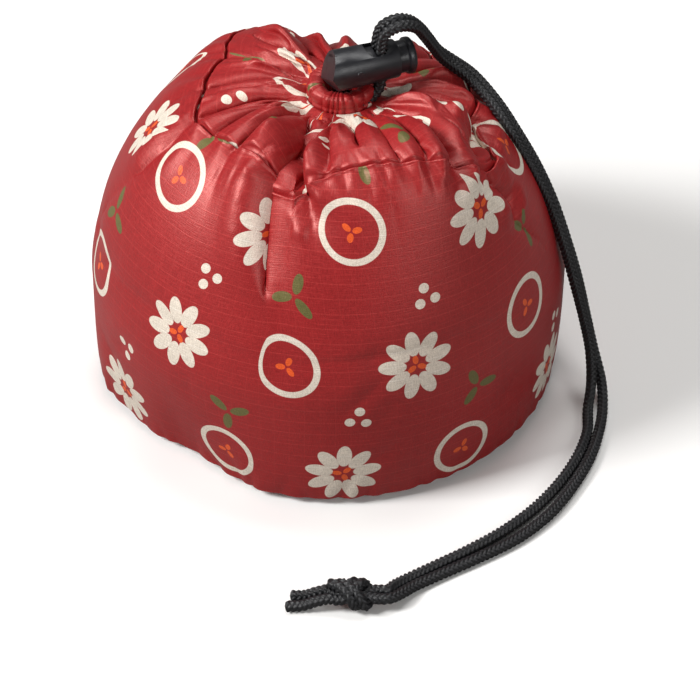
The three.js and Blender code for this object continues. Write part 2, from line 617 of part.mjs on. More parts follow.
function slotTool(at, length, halfWidth) {
  const half = length / 2;
  const corner = 1.4;
  const shape = new THREE.Shape();
  shape.moveTo(-halfWidth + corner, at - half);
  shape.lineTo(halfWidth - corner, at - half);
  shape.absarc(halfWidth - corner, at - half + corner, corner, -Math.PI / 2, 0);
  shape.absarc(halfWidth - corner, at + half - corner, corner, 0, Math.PI / 2);
  shape.absarc(-halfWidth + corner, at + half - corner, corner, Math.PI / 2, Math.PI);
  shape.absarc(-halfWidth + corner, at - half + corner, corner, Math.PI, Math.PI * 1.5);
  const depth = 4 * HOUSING_RADIUS;
  return new THREE.ExtrudeGeometry(shape, { depth, bevelEnabled: false, curveSegments: 3 })
    .translate(0, 0, -depth / 2);
}

// A big block that trims the closed end to a wedge; tilt is its slope from square, in degrees.
function wedgeTool(tilt) {
  const size = 6 * HOUSING_RADIUS;
  const block = new THREE.BoxGeometry(size, size, size);
  block.translate(0, -size / 2, 0).rotateX(THREE.MathUtils.degToRad(tilt));
  return block.translate(0, -LOCK_HALF, 0);
}

function lockHousing() {
  const profile = [
    [0, -LOCK_HALF],
    [HOUSING_RADIUS, -LOCK_HALF],
    [HOUSING_RADIUS, -LOCK_HALF + 6],
    [MOUTH_RADIUS, MOUTH_AT],
    [BORE_RADIUS, MOUTH_AT],
    [BORE_RADIUS, BORE_FLOOR_AT],
    [0, BORE_FLOOR_AT],
  ];
  const slot = slotTool(HOUSING_SLOT_AT, SLOT_LENGTH, SLOT_HALF_WIDTH);
  return cut(turned(profile), slot, wedgeTool(14), wedgeTool(-14));
}

function lockPlunger() {
  const flangeAt = LOCK_HALF - FLANGE_THICKNESS;
  const profile = [
    [0, PLUNGER_INNER_AT],
    [PLUNGER_RADIUS, PLUNGER_INNER_AT],
    [PLUNGER_RADIUS, flangeAt],
    [FLANGE_RADIUS, flangeAt],
    [FLANGE_RADIUS, LOCK_HALF - 0.9],
    [FLANGE_RADIUS - 0.9, LOCK_HALF],
    [0, LOCK_HALF],
  ];
  return cut(turned(profile), slotTool(PLUNGER_SLOT_AT, SLOT_LENGTH, SLOT_HALF_WIDTH));
}

function lockSpring() {
  const start = BORE_FLOOR_AT + CLEARANCE + SPRING_WIRE / 2;
  const rise = SPRING_LENGTH - SPRING_WIRE;
  const count = SPRING_TURNS * 10;
  const points = Array.from({ length: count + 1 }, (_, i) => {
    const angle = 2 * Math.PI * SPRING_TURNS * i / count;
    return new THREE.Vector3(SPRING_RADIUS * Math.cos(angle), start + rise * i / count,
      SPRING_RADIUS * Math.sin(angle));
  });
  return tube(points, SPRING_WIRE / 2, count, 6);
}

// The scene
const finishes = {
  cloth: new THREE.MeshStandardMaterial({ color: 0xa8282e, roughness: 0.62, metalness: 0 }),
  cord: new THREE.MeshStandardMaterial({ color: 0x17171a, roughness: 0.75, metalness: 0 }),
  plastic: new THREE.MeshStandardMaterial({ color: 0x1f2024, roughness: 0.45, metalness: 0 }),
  steel: new THREE.MeshStandardMaterial({ color: 0xb8babd, roughness: 0.35, metalness: 1 }),
};

function named(name, geometry, finish) {
  const mesh = new THREE.Mesh(geometry, finishes[finish]);
  mesh.name = name;
  return mesh;
}

const frontRoute = route(risers.front, FRONT_STRAND, 1);
const rearRoute = route(risers.rear, REAR_STRAND, -1);
const LOOP_LENGTH = 52;
const LOOP_STEPS = 16;
const STRAND_STEPS = 28;
const TAIL_STEPS = 5;

const bag = new THREE.Group();
bag.add(
  named('base_panel', basePanel(), 'cloth'),
  named('wall_panel', wallPanel(), 'cloth'),
  named('top_yoke', topYoke(), 'cloth'),
  named('drawstring_casing', drawstringCasing(), 'cloth'),
  named('casing_cord', casingCord(), 'cord'),
  named('cord_loop_front', stretch(frontRoute, 0, LOOP_LENGTH, LOOP_STEPS), 'cord'),
  named('cord_loop_rear', stretch(rearRoute, 0, LOOP_LENGTH, LOOP_STEPS), 'cord'),
  named('cord_strand_front', stretch(frontRoute, LOOP_LENGTH + CLEARANCE, Infinity, STRAND_STEPS), 'cord'),
  named('cord_strand_rear', stretch(rearRoute, LOOP_LENGTH + CLEARANCE, Infinity, STRAND_STEPS), 'cord'),
  named('cord_knot', knot(), 'cord'),
  named('cord_tail_front', tail(-1, TAIL_LENGTHS.front), 'cord'),
  named('cord_tail_rear', tail(1, TAIL_LENGTHS.rear), 'cord'),
);

const lock = new THREE.Group();
lock.position.copy(lockMiddle);
lock.rotation.z = LOCK_YAW - Math.PI / 2;
lock.add(
  named('lock_housing', lockHousing(), 'plastic'),
  named('lock_plunger', lockPlunger(), 'plastic'),
  named('lock_spring', lockSpring(), 'steel'),
);
bag.add(lock);

export default bag;
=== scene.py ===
"""A small round drawstring bag of printed ripstop nylon, filled, pulled shut and standing on a pale floor.

A spring cord lock lies on the gathers, and the braided cord falls over the right shoulder to its knot."""

import math

import bmesh
import bpy
import numpy as np
from mathutils import Matrix, Vector


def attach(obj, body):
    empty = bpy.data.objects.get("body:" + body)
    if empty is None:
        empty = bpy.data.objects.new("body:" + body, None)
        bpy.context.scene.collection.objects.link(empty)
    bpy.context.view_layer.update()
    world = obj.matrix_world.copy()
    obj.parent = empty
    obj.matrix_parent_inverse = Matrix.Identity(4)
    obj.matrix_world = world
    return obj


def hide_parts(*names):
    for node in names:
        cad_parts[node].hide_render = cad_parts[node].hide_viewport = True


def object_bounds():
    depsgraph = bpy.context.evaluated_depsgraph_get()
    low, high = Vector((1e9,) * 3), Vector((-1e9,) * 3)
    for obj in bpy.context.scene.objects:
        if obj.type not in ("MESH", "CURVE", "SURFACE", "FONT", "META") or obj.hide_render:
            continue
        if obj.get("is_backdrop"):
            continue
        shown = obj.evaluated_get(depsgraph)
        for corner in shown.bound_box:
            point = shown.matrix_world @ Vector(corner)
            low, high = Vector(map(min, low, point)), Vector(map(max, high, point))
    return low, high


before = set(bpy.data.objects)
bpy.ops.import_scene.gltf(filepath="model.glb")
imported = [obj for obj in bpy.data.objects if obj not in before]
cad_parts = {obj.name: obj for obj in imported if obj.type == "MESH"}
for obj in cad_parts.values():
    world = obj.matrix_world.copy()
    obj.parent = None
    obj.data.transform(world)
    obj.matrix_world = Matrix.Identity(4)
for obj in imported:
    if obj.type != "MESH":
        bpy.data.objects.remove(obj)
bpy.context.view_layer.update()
MM = 0.001

# View
# The photograph looks down on the front of the bag, from a metre away.
VIEW_ELEVATION = math.radians(41)
VIEW_DISTANCE = 1.0
VIEW_AIM = Vector((6.6 * MM, 0, 0))
VIEW_LENS = 153.3

camera = bpy.data.objects.new("view", bpy.data.cameras.new("view"))
bpy.context.scene.collection.objects.link(camera)
bpy.context.scene.camera = camera
camera.data.lens = VIEW_LENS
backward = Vector((0, -math.cos(VIEW_ELEVATION), math.sin(VIEW_ELEVATION)))
camera.location = VIEW_AIM + backward * VIEW_DISTANCE
camera.rotation_euler = backward.to_track_quat("Z", "Y").to_euler()
bpy.context.scene.view_settings.view_transform = "Standard"


# Cloth shape
# The body is a tube of cloth sewn to a round base, folded in at the rim and gathered to the neck.
# It is drawn as a smooth filled body first, in millimetres, and its folds are then pressed into it.
# Azimuth 0 is the front (-Y) and 90 the right (+X). Station 0 is the foot seam and 1 the neck.
FOOT_RADIUS = 74.5
FOOT_HEIGHT = 3.0
FOOT_FLARE = 1.8
BELLY_RADIUS = 77.2
BELLY_HEIGHT = 42
RIM_RADIUS = 46
RIM_HEIGHT = 104
YOKE_TURN = 9
NECK_RADIUS = 11.25
NECK_HEIGHT = 107
NECK_ROLL = 13
NECK_ROLL_HEIGHT = 3.5
NECK_CENTRE = (4, -1)
BELLY_AT = 0.3
RIM_AT = 0.7

# The rim: azimuth, offset from the rim radius and height, how far the wall stands out and down
# just outside it, and how far the yoke rises inside it.
RIM = [
    (-180, -2, -14, 10, 12, 11), (-165, 0, -9, 11, 12, 9), (-145, 2, -2, 12, 8, 5),
    (-134, -1, 1, 14, 5, 2), (-119, -8, 2, 18, 4, 1), (-105, -7, 2, 18, 4, 1),
    (-86, -6, 2, 18, 4, 1), (-71, -2, 2, 17, 6, 1), (-55, -3, 4, 15, 8, 1),
    (-44, -4, 5, 14, 10, 1), (-33, -4, 5, 13, 12, 1), (-24, -2, 4, 12, 14, 1),
    (-17, 1, 1.5, 10, 16, 2), (-12, 1, -4, 9, 18, 4), (-7, 1.5, 0, 8, 18, 2),
    (-2, 1.5, 4.5, 8, 19, 1), (4, 2, 8.5, 8, 20, 0), (20, 4.5, 11, 8, 20, -1),
    (38, 10.5, 9, 8, 20, -1), (46, 12, 3.5, 8, 18, 1), (56, 12, -5, 10, 15, 4),
    (66, 5, -6, 14, 12, 5), (80, 0, -4.5, 16, 10, 5), (93, 0, -4, 16, 10, 5),
    (115, -1, -4, 14, 10, 5), (130, -1, -5, 13, 10, 6), (150, -3, -9, 11, 12, 8),
    (165, -3, -13, 10, 12, 10),
]

# The foot: azimuth, offsets from the foot radius and the belly radius, fullness above the belly.
FOOT = [
    (-180, 0, -2.2, 0.24), (-130, 0.5, -2.6, 0.24), (-110, 1, -2, 0.26), (-90, 1.5, 0, 0.3),
    (-73, 2, 0.2, 0.36), (-64, -1, 0, 0.36), (-50, -3, -0.2, 0.36), (-41, -6, -0.6, 0.36),
    (-29, -4, -0.6, 0.36), (-18, -0.5, -0.2, 0.36), (-5, 0.5, 0, 0.36), (60, 0, -0.2, 0.36),
    (85, 0, -0.6, 0.32), (110, 0, -2, 0.26), (140, 0, -2.6, 0.24),
]

# Folds: a half width, then azimuth, station and depth along each valley.
FOLDS = [
    # the deep valley left of the middle, from the neck down over the rim
    (4.8, [(-31, 0.98, 2), (-25, 0.93, 4), (-19, 0.87, 6), (-17.5, 0.79, 7.5), (-18, 0.7, 8),
           (-18.5, 0.65, 8.5), (-18, 0.6, 7.5), (-16.5, 0.53, 3.5), (-15, 0.48, 0.5)]),
    (2.4, [(-22, 0.94, 1.5), (-14, 0.87, 2.8), (-9, 0.78, 3.6), (-7, 0.69, 3), (-6.5, 0.65, 1)]),
    # the tuck on the left shoulder, below the rim
    (3, [(-84, 0.4, 0.5), (-81, 0.44, 1.5), (-70, 0.56, 2), (-68, 0.63, 2), (-71, 0.7, 1.5)]),
    # gathers of the left yoke
    (3, [(-90, 0.74, 2), (-94, 0.82, 3), (-103, 0.9, 3), (-118, 0.99, 2)]),
    (3, [(-73, 0.74, 2), (-74, 0.82, 2.5), (-80, 0.9, 2.5), (-73, 0.99, 2)]),
    (2.6, [(-57, 0.72, 1), (-60, 0.82, 2), (-64, 0.9, 2), (-59, 0.99, 1.5)]),
    (2.6, [(-43, 0.72, 1), (-42, 0.82, 2), (-46, 0.91, 2), (-50, 0.98, 1.5)]),
    (2.4, [(-30, 0.71, 1.5), (-29, 0.8, 2.2), (-32, 0.9, 2.2), (-39, 0.98, 1.5)]),
    # gathers of the front yoke
    (2.4, [(-12, 0.98, 2), (-2, 0.89, 2.5), (0, 0.77, 1.5), (-2, 0.71, 1)]),
    (2.4, [(4, 0.99, 2), (9, 0.91, 2), (12, 0.81, 1)]),
    (2.4, [(29, 0.99, 2), (27, 0.9, 2.2), (26, 0.78, 1.5), (26, 0.71, 1)]),
    (2.6, [(45, 0.99, 2), (41, 0.9, 2.5), (37, 0.8, 2.5), (35, 0.72, 1.5)]),
    (3, [(60, 0.99, 2), (58, 0.91, 3), (48, 0.82, 3.5), (43, 0.7, 3)]),
    # gathers of the right yoke, and the tuck behind the right end of the front panel
    (3, [(83, 0.99, 2), (82, 0.91, 3), (81, 0.82, 3), (83, 0.7, 2)]),
    (3.4, [(85, 0.7, 2), (72, 0.72, 4), (57, 0.76, 3), (52, 0.74, 1)]),
    (3.4, [(54, 0.68, 3), (60, 0.62, 3), (58, 0.57, 2), (69, 0.45, 1)]),
    # gathers of the back left yoke
    (2.6, [(-130, 0.99, 2), (-126, 0.95, 2.5), (-123, 0.88, 1.5)]),
    (2.6, [(-145, 0.97, 2), (-143, 0.9, 2.5), (-141, 0.82, 1.5)]),
    (3, [(-156, 0.95, 2), (-158, 0.85, 3), (-155, 0.75, 2)]),
]
# The seam that closes the wall into a tube, at the back.
FOLDS.append((0.7, [(180, 0.02, 0.3), (180, 0.35, 0.4), (180, 0.69, 0.4)]))
# Gathers of the back right, evenly fanned from the neck down over the rim.
BACK_FOLD_COUNT = 7
for index, azimuth in enumerate(np.linspace(102, 198, BACK_FOLD_COUNT)):
    side = 1 if index % 2 else -1
    FOLDS.append((3.4, [(azimuth, 0.97, 2.1), (azimuth, 0.85, 3), (azimuth + 4 * side, 0.7, 2.4),
                        (azimuth, 0.55 - 0.05 * side, 0)]))
# The cloth stands up beside each valley by this share of its depth.
FOLD_SHOULDER = 0.4
FOLD_CREASE = 1.12
SMALL_CREASE = 1.2
RIM_FOLD_GAIN = 1.75
NECK_FOLD_GAIN = 2.7
WALL_SMALL_GAIN = 1.0
YOKE_SMALL_GAIN = 1.6


def around(table, azimuth, column):
    """One column of a table of azimuths, as a smooth closed curve."""
    rows = np.array(table, float)
    place = (azimuth + 180) % 360 - 180
    first = np.searchsorted(rows[:, 0], place, side="right") - 1

    def entry(k):
        turns = k // len(rows)
        found = rows[k - turns * len(rows)]
        return found[..., 0] + 360 * turns, found[..., column]

    (a0, v0), (a1, v1), (a2, v2), (a3, v3) = (entry(first + step) for step in (-1, 0, 1, 2))
    f = (place - a1) / (a2 - a1)
    m1 = (v2 - v0) / (a2 - a0) * (a2 - a1)
    m2 = (v3 - v1) / (a3 - a1) * (a2 - a1)
    return ((2 * f**3 - 3 * f**2 + 1) * v1 + (f**3 - 2 * f**2 + f) * m1
            + (3 * f**2 - 2 * f**3) * v2 + (f**3 - f**2) * m2)


def smoothstep(x):
    x = np.clip(x, 0, 1)
    return x * x * (3 - 2 * x)


def smooth_body(azimuth, station):
    """Places on the filled body before any folds."""
    azimuth, station = np.broadcast_arrays(np.asarray(azimuth, float), np.asarray(station, float))
    rim_r = RIM_RADIUS + around(RIM, azimuth, 1)
    rim_z = RIM_HEIGHT + around(RIM, azimuth, 2)
    out, down, rise = (around(RIM, azimuth, column) for column in (3, 4, 5))
    foot_r = FOOT_RADIUS + around(FOOT, azimuth, 1)
    belly_r = BELLY_RADIUS + around(FOOT, azimuth, 2)
    fullness = around(FOOT, azimuth, 3)
    one = np.ones_like(azimuth)
    foot = [(foot_r, FOOT_HEIGHT * one), (foot_r + FOOT_FLARE, (FOOT_HEIGHT + BELLY_HEIGHT / 4) * one),
            (belly_r, BELLY_HEIGHT * 2 / 3 * one), (belly_r, BELLY_HEIGHT * one)]
    shoulder = [foot[3], (belly_r, BELLY_HEIGHT + fullness * (rim_z - BELLY_HEIGHT)),
                (rim_r + out, rim_z - down), (rim_r, rim_z)]
    yoke = [shoulder[3], (rim_r - YOKE_TURN, rim_z + rise),
            ((NECK_RADIUS + NECK_ROLL) * one, (NECK_HEIGHT + NECK_ROLL_HEIGHT) * one),
            (NECK_RADIUS * one, NECK_HEIGHT * one)]
    stretches = [(0, BELLY_AT, foot), (BELLY_AT, RIM_AT, shoulder), (RIM_AT, 1, yoke)]
    radius, height = np.zeros_like(azimuth), np.zeros_like(azimuth)
    for start, end, points in stretches:
        inside = (station >= start) & (station <= end)
        t = np.clip((station - start) / (end - start), 0, 1)
        shares = [(1 - t)**3, 3 * t * (1 - t)**2, 3 * t**2 * (1 - t), t**3]
        radius = np.where(inside, sum(s * p[0] for s, p in zip(shares, points)), radius)
        height = np.where(inside, sum(s * p[1] for s, p in zip(shares, points)), height)
    shift = smoothstep((station - RIM_AT) / (1 - RIM_AT))
    angle = np.radians(azimuth)
    return np.stack([radius * np.sin(angle) + NECK_CENTRE[0] * shift,
                     -radius * np.cos(angle) + NECK_CENTRE[1] * shift, height], -1)


def outward(azimuth, station):
    """Which way the filled body faces."""
    low, high = np.maximum(station - 0.01, 0), np.minimum(station + 0.01, 1)
    sideways = smooth_body(azimuth + 1, station) - smooth_body(azimuth - 1, station)
    upward = smooth_body(azimuth, high) - smooth_body(azimuth, low)
    normal = np.cross(sideways, upward)
    return normal / np.linalg.norm(normal, axis=-1, keepdims=True)


def fold_depth(places, folds, crease):
    """How far the folds push places on the filled body out, or in where it is below 0.
    A crease of 2 is a round valley, and 1 a sharp one."""
    total = np.zeros(places.shape[:-1])
    for width, along in folds:
        nodes = smooth_body([n[0] for n in along], [n[1] for n in along])
        reach = 4.5 * width
        low, high = nodes.min(0) - reach, nodes.max(0) + reach
        near = np.all((places > low) & (places < high), axis=-1)
        if not near.any():
            continue
        spots = places[near]
        best = np.full(len(spots), np.inf)
        depth = np.zeros(len(spots))
        for start, end, first, last in zip(nodes, nodes[1:], along, along[1:]):
            line = end - start
            share = np.clip((spots - start) @ line / max(line @ line, 1e-9), 0, 1)
            distance = np.linalg.norm(spots - start - share[:, None] * line, axis=1)
            closer = distance < best
            best = np.where(closer, distance, best)
            depth = np.where(closer, first[2] + (last[2] - first[2]) * share, depth)
        valley = np.exp(-(best / width)**crease)
        shoulder = np.exp(-((best - 1.8 * width) / (1.1 * width))**2)
        total[near] += depth * (FOLD_SHOULDER * shoulder - valley)
    return total


# Small gathers and puckers, scattered the same way each run: fine pleats that run out from the neck,
# soft creases that hang from the rim, puckers at the foot seam and dents of the belly.
BELLY_DENTS = 34
scatter = np.random.default_rng(7)
SMALL_FOLDS = []
for azimuth in np.arange(-180, 180, 5.5):
    turn = azimuth + scatter.uniform(-1.6, 1.6)
    lean = scatter.uniform(-6, 6)
    end = scatter.uniform(0.78, 0.9)
    depth = scatter.uniform(0.5, 1.3)
    width = scatter.uniform(0.9, 1.5)
    SMALL_FOLDS.append((width, [(turn, 0.995, depth * 0.7), (turn + lean * 0.5, 0.93, depth),
                                (turn + lean, end, 0)]))
for azimuth in np.arange(-180, 180, 8):
    turn = azimuth + scatter.uniform(-3, 3)
    lean = scatter.uniform(-7, 7)
    end = scatter.uniform(0.48, 0.62)
    depth = scatter.uniform(0.2, 0.7)
    width = scatter.uniform(1.6, 3)
    SMALL_FOLDS.append((width, [(turn, 0.7, depth), (turn + lean * 0.4, 0.64, depth), (turn + lean, end, 0)]))
for azimuth in np.arange(-180, 180, 6.5):
    turn = azimuth + scatter.uniform(-2, 2)
    lean = scatter.uniform(-5, 5)
    end = scatter.uniform(0.05, 0.16)
    depth = scatter.uniform(0.2, 0.8)
    width = scatter.uniform(1.4, 2.6)
    SMALL_FOLDS.append((width, [(turn, 0.0, depth), (turn + lean, end, 0)]))
for index in range(BELLY_DENTS):
    turn = scatter.uniform(-180, 180)
    low = scatter.uniform(0.1, 0.5)
    lean = scatter.uniform(-16, 16)
    depth = scatter.uniform(0.3, 0.8)
    width = scatter.uniform(3, 6.5)
    SMALL_FOLDS.append((width, [(turn, low, 0), (turn + lean * 0.5, low + 0.05, depth),
                                (turn + lean, low + 0.1, 0)]))


def drawn_cloth(azimuth, station):
    """Places on the folded cloth, before it settles."""
    places = smooth_body(azimuth, station)
    fade = np.clip(np.minimum((1 - station) / 0.06, station / 0.1), 0, 1)
    small_fade = np.clip((1 - station) / 0.06, 0, 1)
    near_yoke = smoothstep((station - RIM_AT + 0.05) / 0.1)
    small_gain = WALL_SMALL_GAIN + (YOKE_SMALL_GAIN - WALL_SMALL_GAIN) * near_yoke
    gain = RIM_FOLD_GAIN + (NECK_FOLD_GAIN - RIM_FOLD_GAIN) * smoothstep((station - RIM_AT) / 0.15)
    pushed = (gain * fold_depth(places, FOLDS, FOLD_CREASE) * fade
              + small_gain * fold_depth(places, SMALL_FOLDS, SMALL_CREASE) * small_fade)
    return places + outward(azimuth, station) * pushed[..., None]


# Settling
# The drawn folds hold less cloth than the real gathers do. So the upper half is given its spare cloth
# and settles as cloth does: held at the neck and low on the belly, pushed out a little by what the bag
# holds, it buckles into rolls and creases of its own. It settles at twenty times its size and is then
# brought back, because so small and light a cloth would hardly move.
SETTLE_FROM = 0.38
SETTLE_COLUMNS = 260
SETTLE_LOWER_ROWS = 42
SETTLE_UPPER_ROWS = 62
SETTLE_SCALE = 20
SETTLE_FRAMES = 14
# No place moves further than this, in mm.
SETTLE_CAP = 6.0
# Spare width of the cut cloth, as shares of the drawn width: below the rim, and from the rim to the neck.
SPARE_BELOW = 0.02
SPARE_AT_RIM = 0.42
# The cloth is free between these stations, and the filling holds it lightly: the wall more than the yoke.
FREE_FROM = 0.02
FREE_TO = 0.975
WALL_HOLD = 0.17
YOKE_HOLD = 0.1
FILLING_PRESSURE = 7
THREAD_STIFFNESS = 15
SHEAR_STIFFNESS = 2
BENDING_STIFFNESS = 0.2


def made(name, bm):
    """A new object in the scene, whose mesh is the finished bmesh."""
    mesh = bpy.data.meshes.new(name)
    bm.to_mesh(mesh)
    bm.free()
    thing = bpy.data.objects.new(name, mesh)
    bpy.context.scene.collection.objects.link(thing)
    return thing


def spare_cut(places, stations, azimuths):
    """The cut of the cloth as a tube, wider than the drawn one by its spare width."""
    ring = np.linalg.norm(np.roll(places, -1, axis=1) - places, axis=-1).sum(axis=1)
    rise = np.linalg.norm(np.diff(places, axis=0), axis=-1).mean(axis=1)
    spare = (SPARE_BELOW * smoothstep((stations - SETTLE_FROM) / 0.1)
             + SPARE_AT_RIM * smoothstep((stations - 0.62) / 0.2))
    radius = ring * (1 + spare) / (2 * math.pi)
    steps = np.sqrt(np.maximum((rise * 1.01)**2 - np.diff(radius)**2, (0.3 * rise)**2))
    height = np.concatenate([[0], np.cumsum(steps)])
    angle = np.radians(azimuths)
    return np.stack([radius[:, None] * np.sin(angle), -radius[:, None] * np.cos(angle),
                     height[:, None] * np.ones_like(azimuths)], -1)


def settled():
    """How far each place of a coarse grid moves when the cloth settles: its stations, and moves in mm."""
    azimuths = -180 + 360 * np.arange(SETTLE_COLUMNS) / SETTLE_COLUMNS
    stations = np.concatenate([np.linspace(SETTLE_FROM, RIM_AT, SETTLE_LOWER_ROWS, endpoint=False),
                               np.linspace(RIM_AT, 1, SETTLE_UPPER_ROWS + 1)])
    st, az = np.meshgrid(stations, azimuths, indexing="ij")
    places = drawn_cloth(az, st)
    cut = spare_cut(places, stations, az)
    bm = bmesh.new()
    bmesh.ops.create_grid(bm, x_segments=SETTLE_COLUMNS, y_segments=len(stations) - 1, size=0.5)
    flat = np.array([(v.co.x + 0.5, v.co.y + 0.5) for v in bm.verts])
    column = np.rint(flat[:, 0] * SETTLE_COLUMNS).astype(int) % SETTLE_COLUMNS
    row = np.rint(flat[:, 1] * (len(stations) - 1)).astype(int)
    number = bm.verts.layers.int.new("number")
    drawn = places[row, column] * MM * SETTLE_SCALE
    for v, place, index in zip(bm.verts, drawn, row * SETTLE_COLUMNS + column):
        v.co = place
        v[number] = int(index)
    bmesh.ops.remove_doubles(bm, verts=bm.verts, dist=1e-6)
    order = np.array([v[number] for v in bm.verts])
    trial = made("settling", bm)
    trial.shape_key_add(name="drawn")
    key = trial.shape_key_add(name="cut")
    key.data.foreach_set("co", (cut.reshape(-1, 3)[order] * MM * SETTLE_SCALE).ravel())
    held = trial.vertex_groups.new(name="held")
    at = st.reshape(-1)[order]
    free = (at > SETTLE_FROM + FREE_FROM) & (at < FREE_TO)
    held.add(np.nonzero(~free)[0].tolist(), 1, "REPLACE")
    wall = free & (at < RIM_AT + 0.02)
    held.add(np.nonzero(wall)[0].tolist(), WALL_HOLD, "REPLACE")
    held.add(np.nonzero(free & ~wall)[0].tolist(), YOKE_HOLD, "REPLACE")
    solver = trial.modifiers.new("cloth", "CLOTH")
    nylon = solver.settings
    nylon.quality = 6
    nylon.mass = 0.2
    nylon.tension_stiffness = nylon.compression_stiffness = THREAD_STIFFNESS
    nylon.shear_stiffness = SHEAR_STIFFNESS
    nylon.bending_stiffness = BENDING_STIFFNESS
    nylon.tension_damping = nylon.compression_damping = nylon.shear_damping = 1
    nylon.bending_damping = 0.1
    nylon.vertex_group_mass = "held"
    nylon.rest_shape_key = key
    nylon.use_pressure = True
    nylon.uniform_pressure_force = FILLING_PRESSURE
    nylon.effector_weights.gravity = 0
    solver.collision_settings.use_collision = False
    solver.point_cache.frame_start = 1
    solver.point_cache.frame_end = SETTLE_FRAMES
    for frame_number in range(1, SETTLE_FRAMES + 1):
        bpy.context.scene.frame_set(frame_number)
    evaluated = trial.evaluated_get(bpy.context.evaluated_depsgraph_get())
    spots = np.empty(len(order) * 3)
    evaluated.data.vertices.foreach_get("co", spots)
    moves = np.zeros((places.size // 3, 3))
    moves[order] = spots.reshape(-1, 3) / (MM * SETTLE_SCALE) - places.reshape(-1, 3)[order]
    mesh = trial.data
    bpy.data.objects.remove(trial)
    bpy.data.meshes.remove(mesh)
    bpy.context.scene.frame_set(1)
    far = np.linalg.norm(moves, axis=1, keepdims=True)
    moves *= SETTLE_CAP * np.tanh(far / SETTLE_CAP) / np.maximum(far, 1e-9)
    return stations, moves.reshape(places.shape)


settled_stations, settled_moves = settled()


def smooth_between(values, index, share):
    """Values at a share of the way from one row to the next, on a smooth curve through the rows."""
    last = len(values) - 1
    v0, v1, v2, v3 = (values[np.clip(index + step, 0, last)] for step in (-1, 0, 1, 2))
    f = share.reshape(share.shape + (1,) * (v1.ndim - share.ndim))
    return v1 + 0.5 * f * (v2 - v0 + f * (2 * v0 - 5 * v1 + 4 * v2 - v3 + f * (3 * (v1 - v2) + v3 - v0)))


def cloth(azimuths, stations):
    """Places on the settled cloth, on a grid of azimuths and stations."""
    st, az = np.meshgrid(stations, azimuths, indexing="ij")
    places = drawn_cloth(az, st)
    if settled_moves is None:
        return places
    padded = np.concatenate([settled_moves[:, -2:], settled_moves, settled_moves[:, :3]], axis=1)
    spot = (azimuths + 180) / 360 * SETTLE_COLUMNS + 2
    first = np.minimum(np.floor(spot).astype(int), padded.shape[1] - 2)
    across = smooth_between(padded.transpose(1, 0, 2), first, spot - first).transpose(1, 0, 2)
    row = np.clip(np.searchsorted(settled_stations, stations, side="right") - 1, 0, len(settled_stations) - 2)
    share = (stations - settled_stations[row]) / (settled_stations[row + 1] - settled_stations[row])
    moves = smooth_between(across, row, np.clip(share, 0, 1))
    moves[stations < SETTLE_FROM] = 0
    return places + moves


# Cloth finish
# Ripstop nylon: a thin plain weave with thicker threads every few millimetres, printed after weaving.
# The yarns are bright, so the folds carry a soft satin shine. The weave is drawn coarser than the real
# quarter millimetre, as coarse as it needs to show.
CLOTH_RED = "94181C"
CLOTH_GRID_RED = "B83836"
PRINT_CREAM = "DDD3C3"
PRINT_GRID_WHITE = "F4EEE4"
PRINT_OLIVE = "5C5F33"
PRINT_ORANGE = "E0561F"
SATIN_TINT = "FFB4AC"
RIPSTOP_PITCH = 4.8
RIPSTOP_LINE = 0.2
LARGE_PITCH = 43.0
SMALL_PITCH = 43.0
FLOWER_RADIUS = 12.0
SPRIG_RADIUS = 8.2


def paint(hex_colour):
    """A colour written as sRGB hex, as the linear values that a shader takes."""
    parts = [int(hex_colour[i:i + 2], 16) / 255 for i in (0, 2, 4)]
    return (*[c / 12.92 if c < 0.04045 else ((c + 0.055) / 1.055)**2.4 for c in parts], 1)


def connect(finish, node, links):
    """Gives each named socket of a node its value, or what is linked to it."""
    for socket, value in links.items():
        if isinstance(value, bpy.types.NodeSocket):
            finish.node_tree.links.new(value, node.inputs[socket])
        else:
            node.inputs[socket].default_value = value


def add(finish, kind, links, output=0, **settings):
    """Adds one node, with its settings by name and its sockets' values or links.
    Returns one of its outputs, or the node itself where output is None."""
    node = finish.node_tree.nodes.new("ShaderNode" + kind)
    for name, value in settings.items():
        setattr(node, name, value)
    connect(finish, node, links)
    return node if output is None else node.outputs[output]


def new_finish(name):
    """A material with its principled shader at its defaults."""
    finish = bpy.data.materials.new(name)
    finish.use_nodes = True
    return finish, finish.node_tree.nodes["Principled BSDF"]


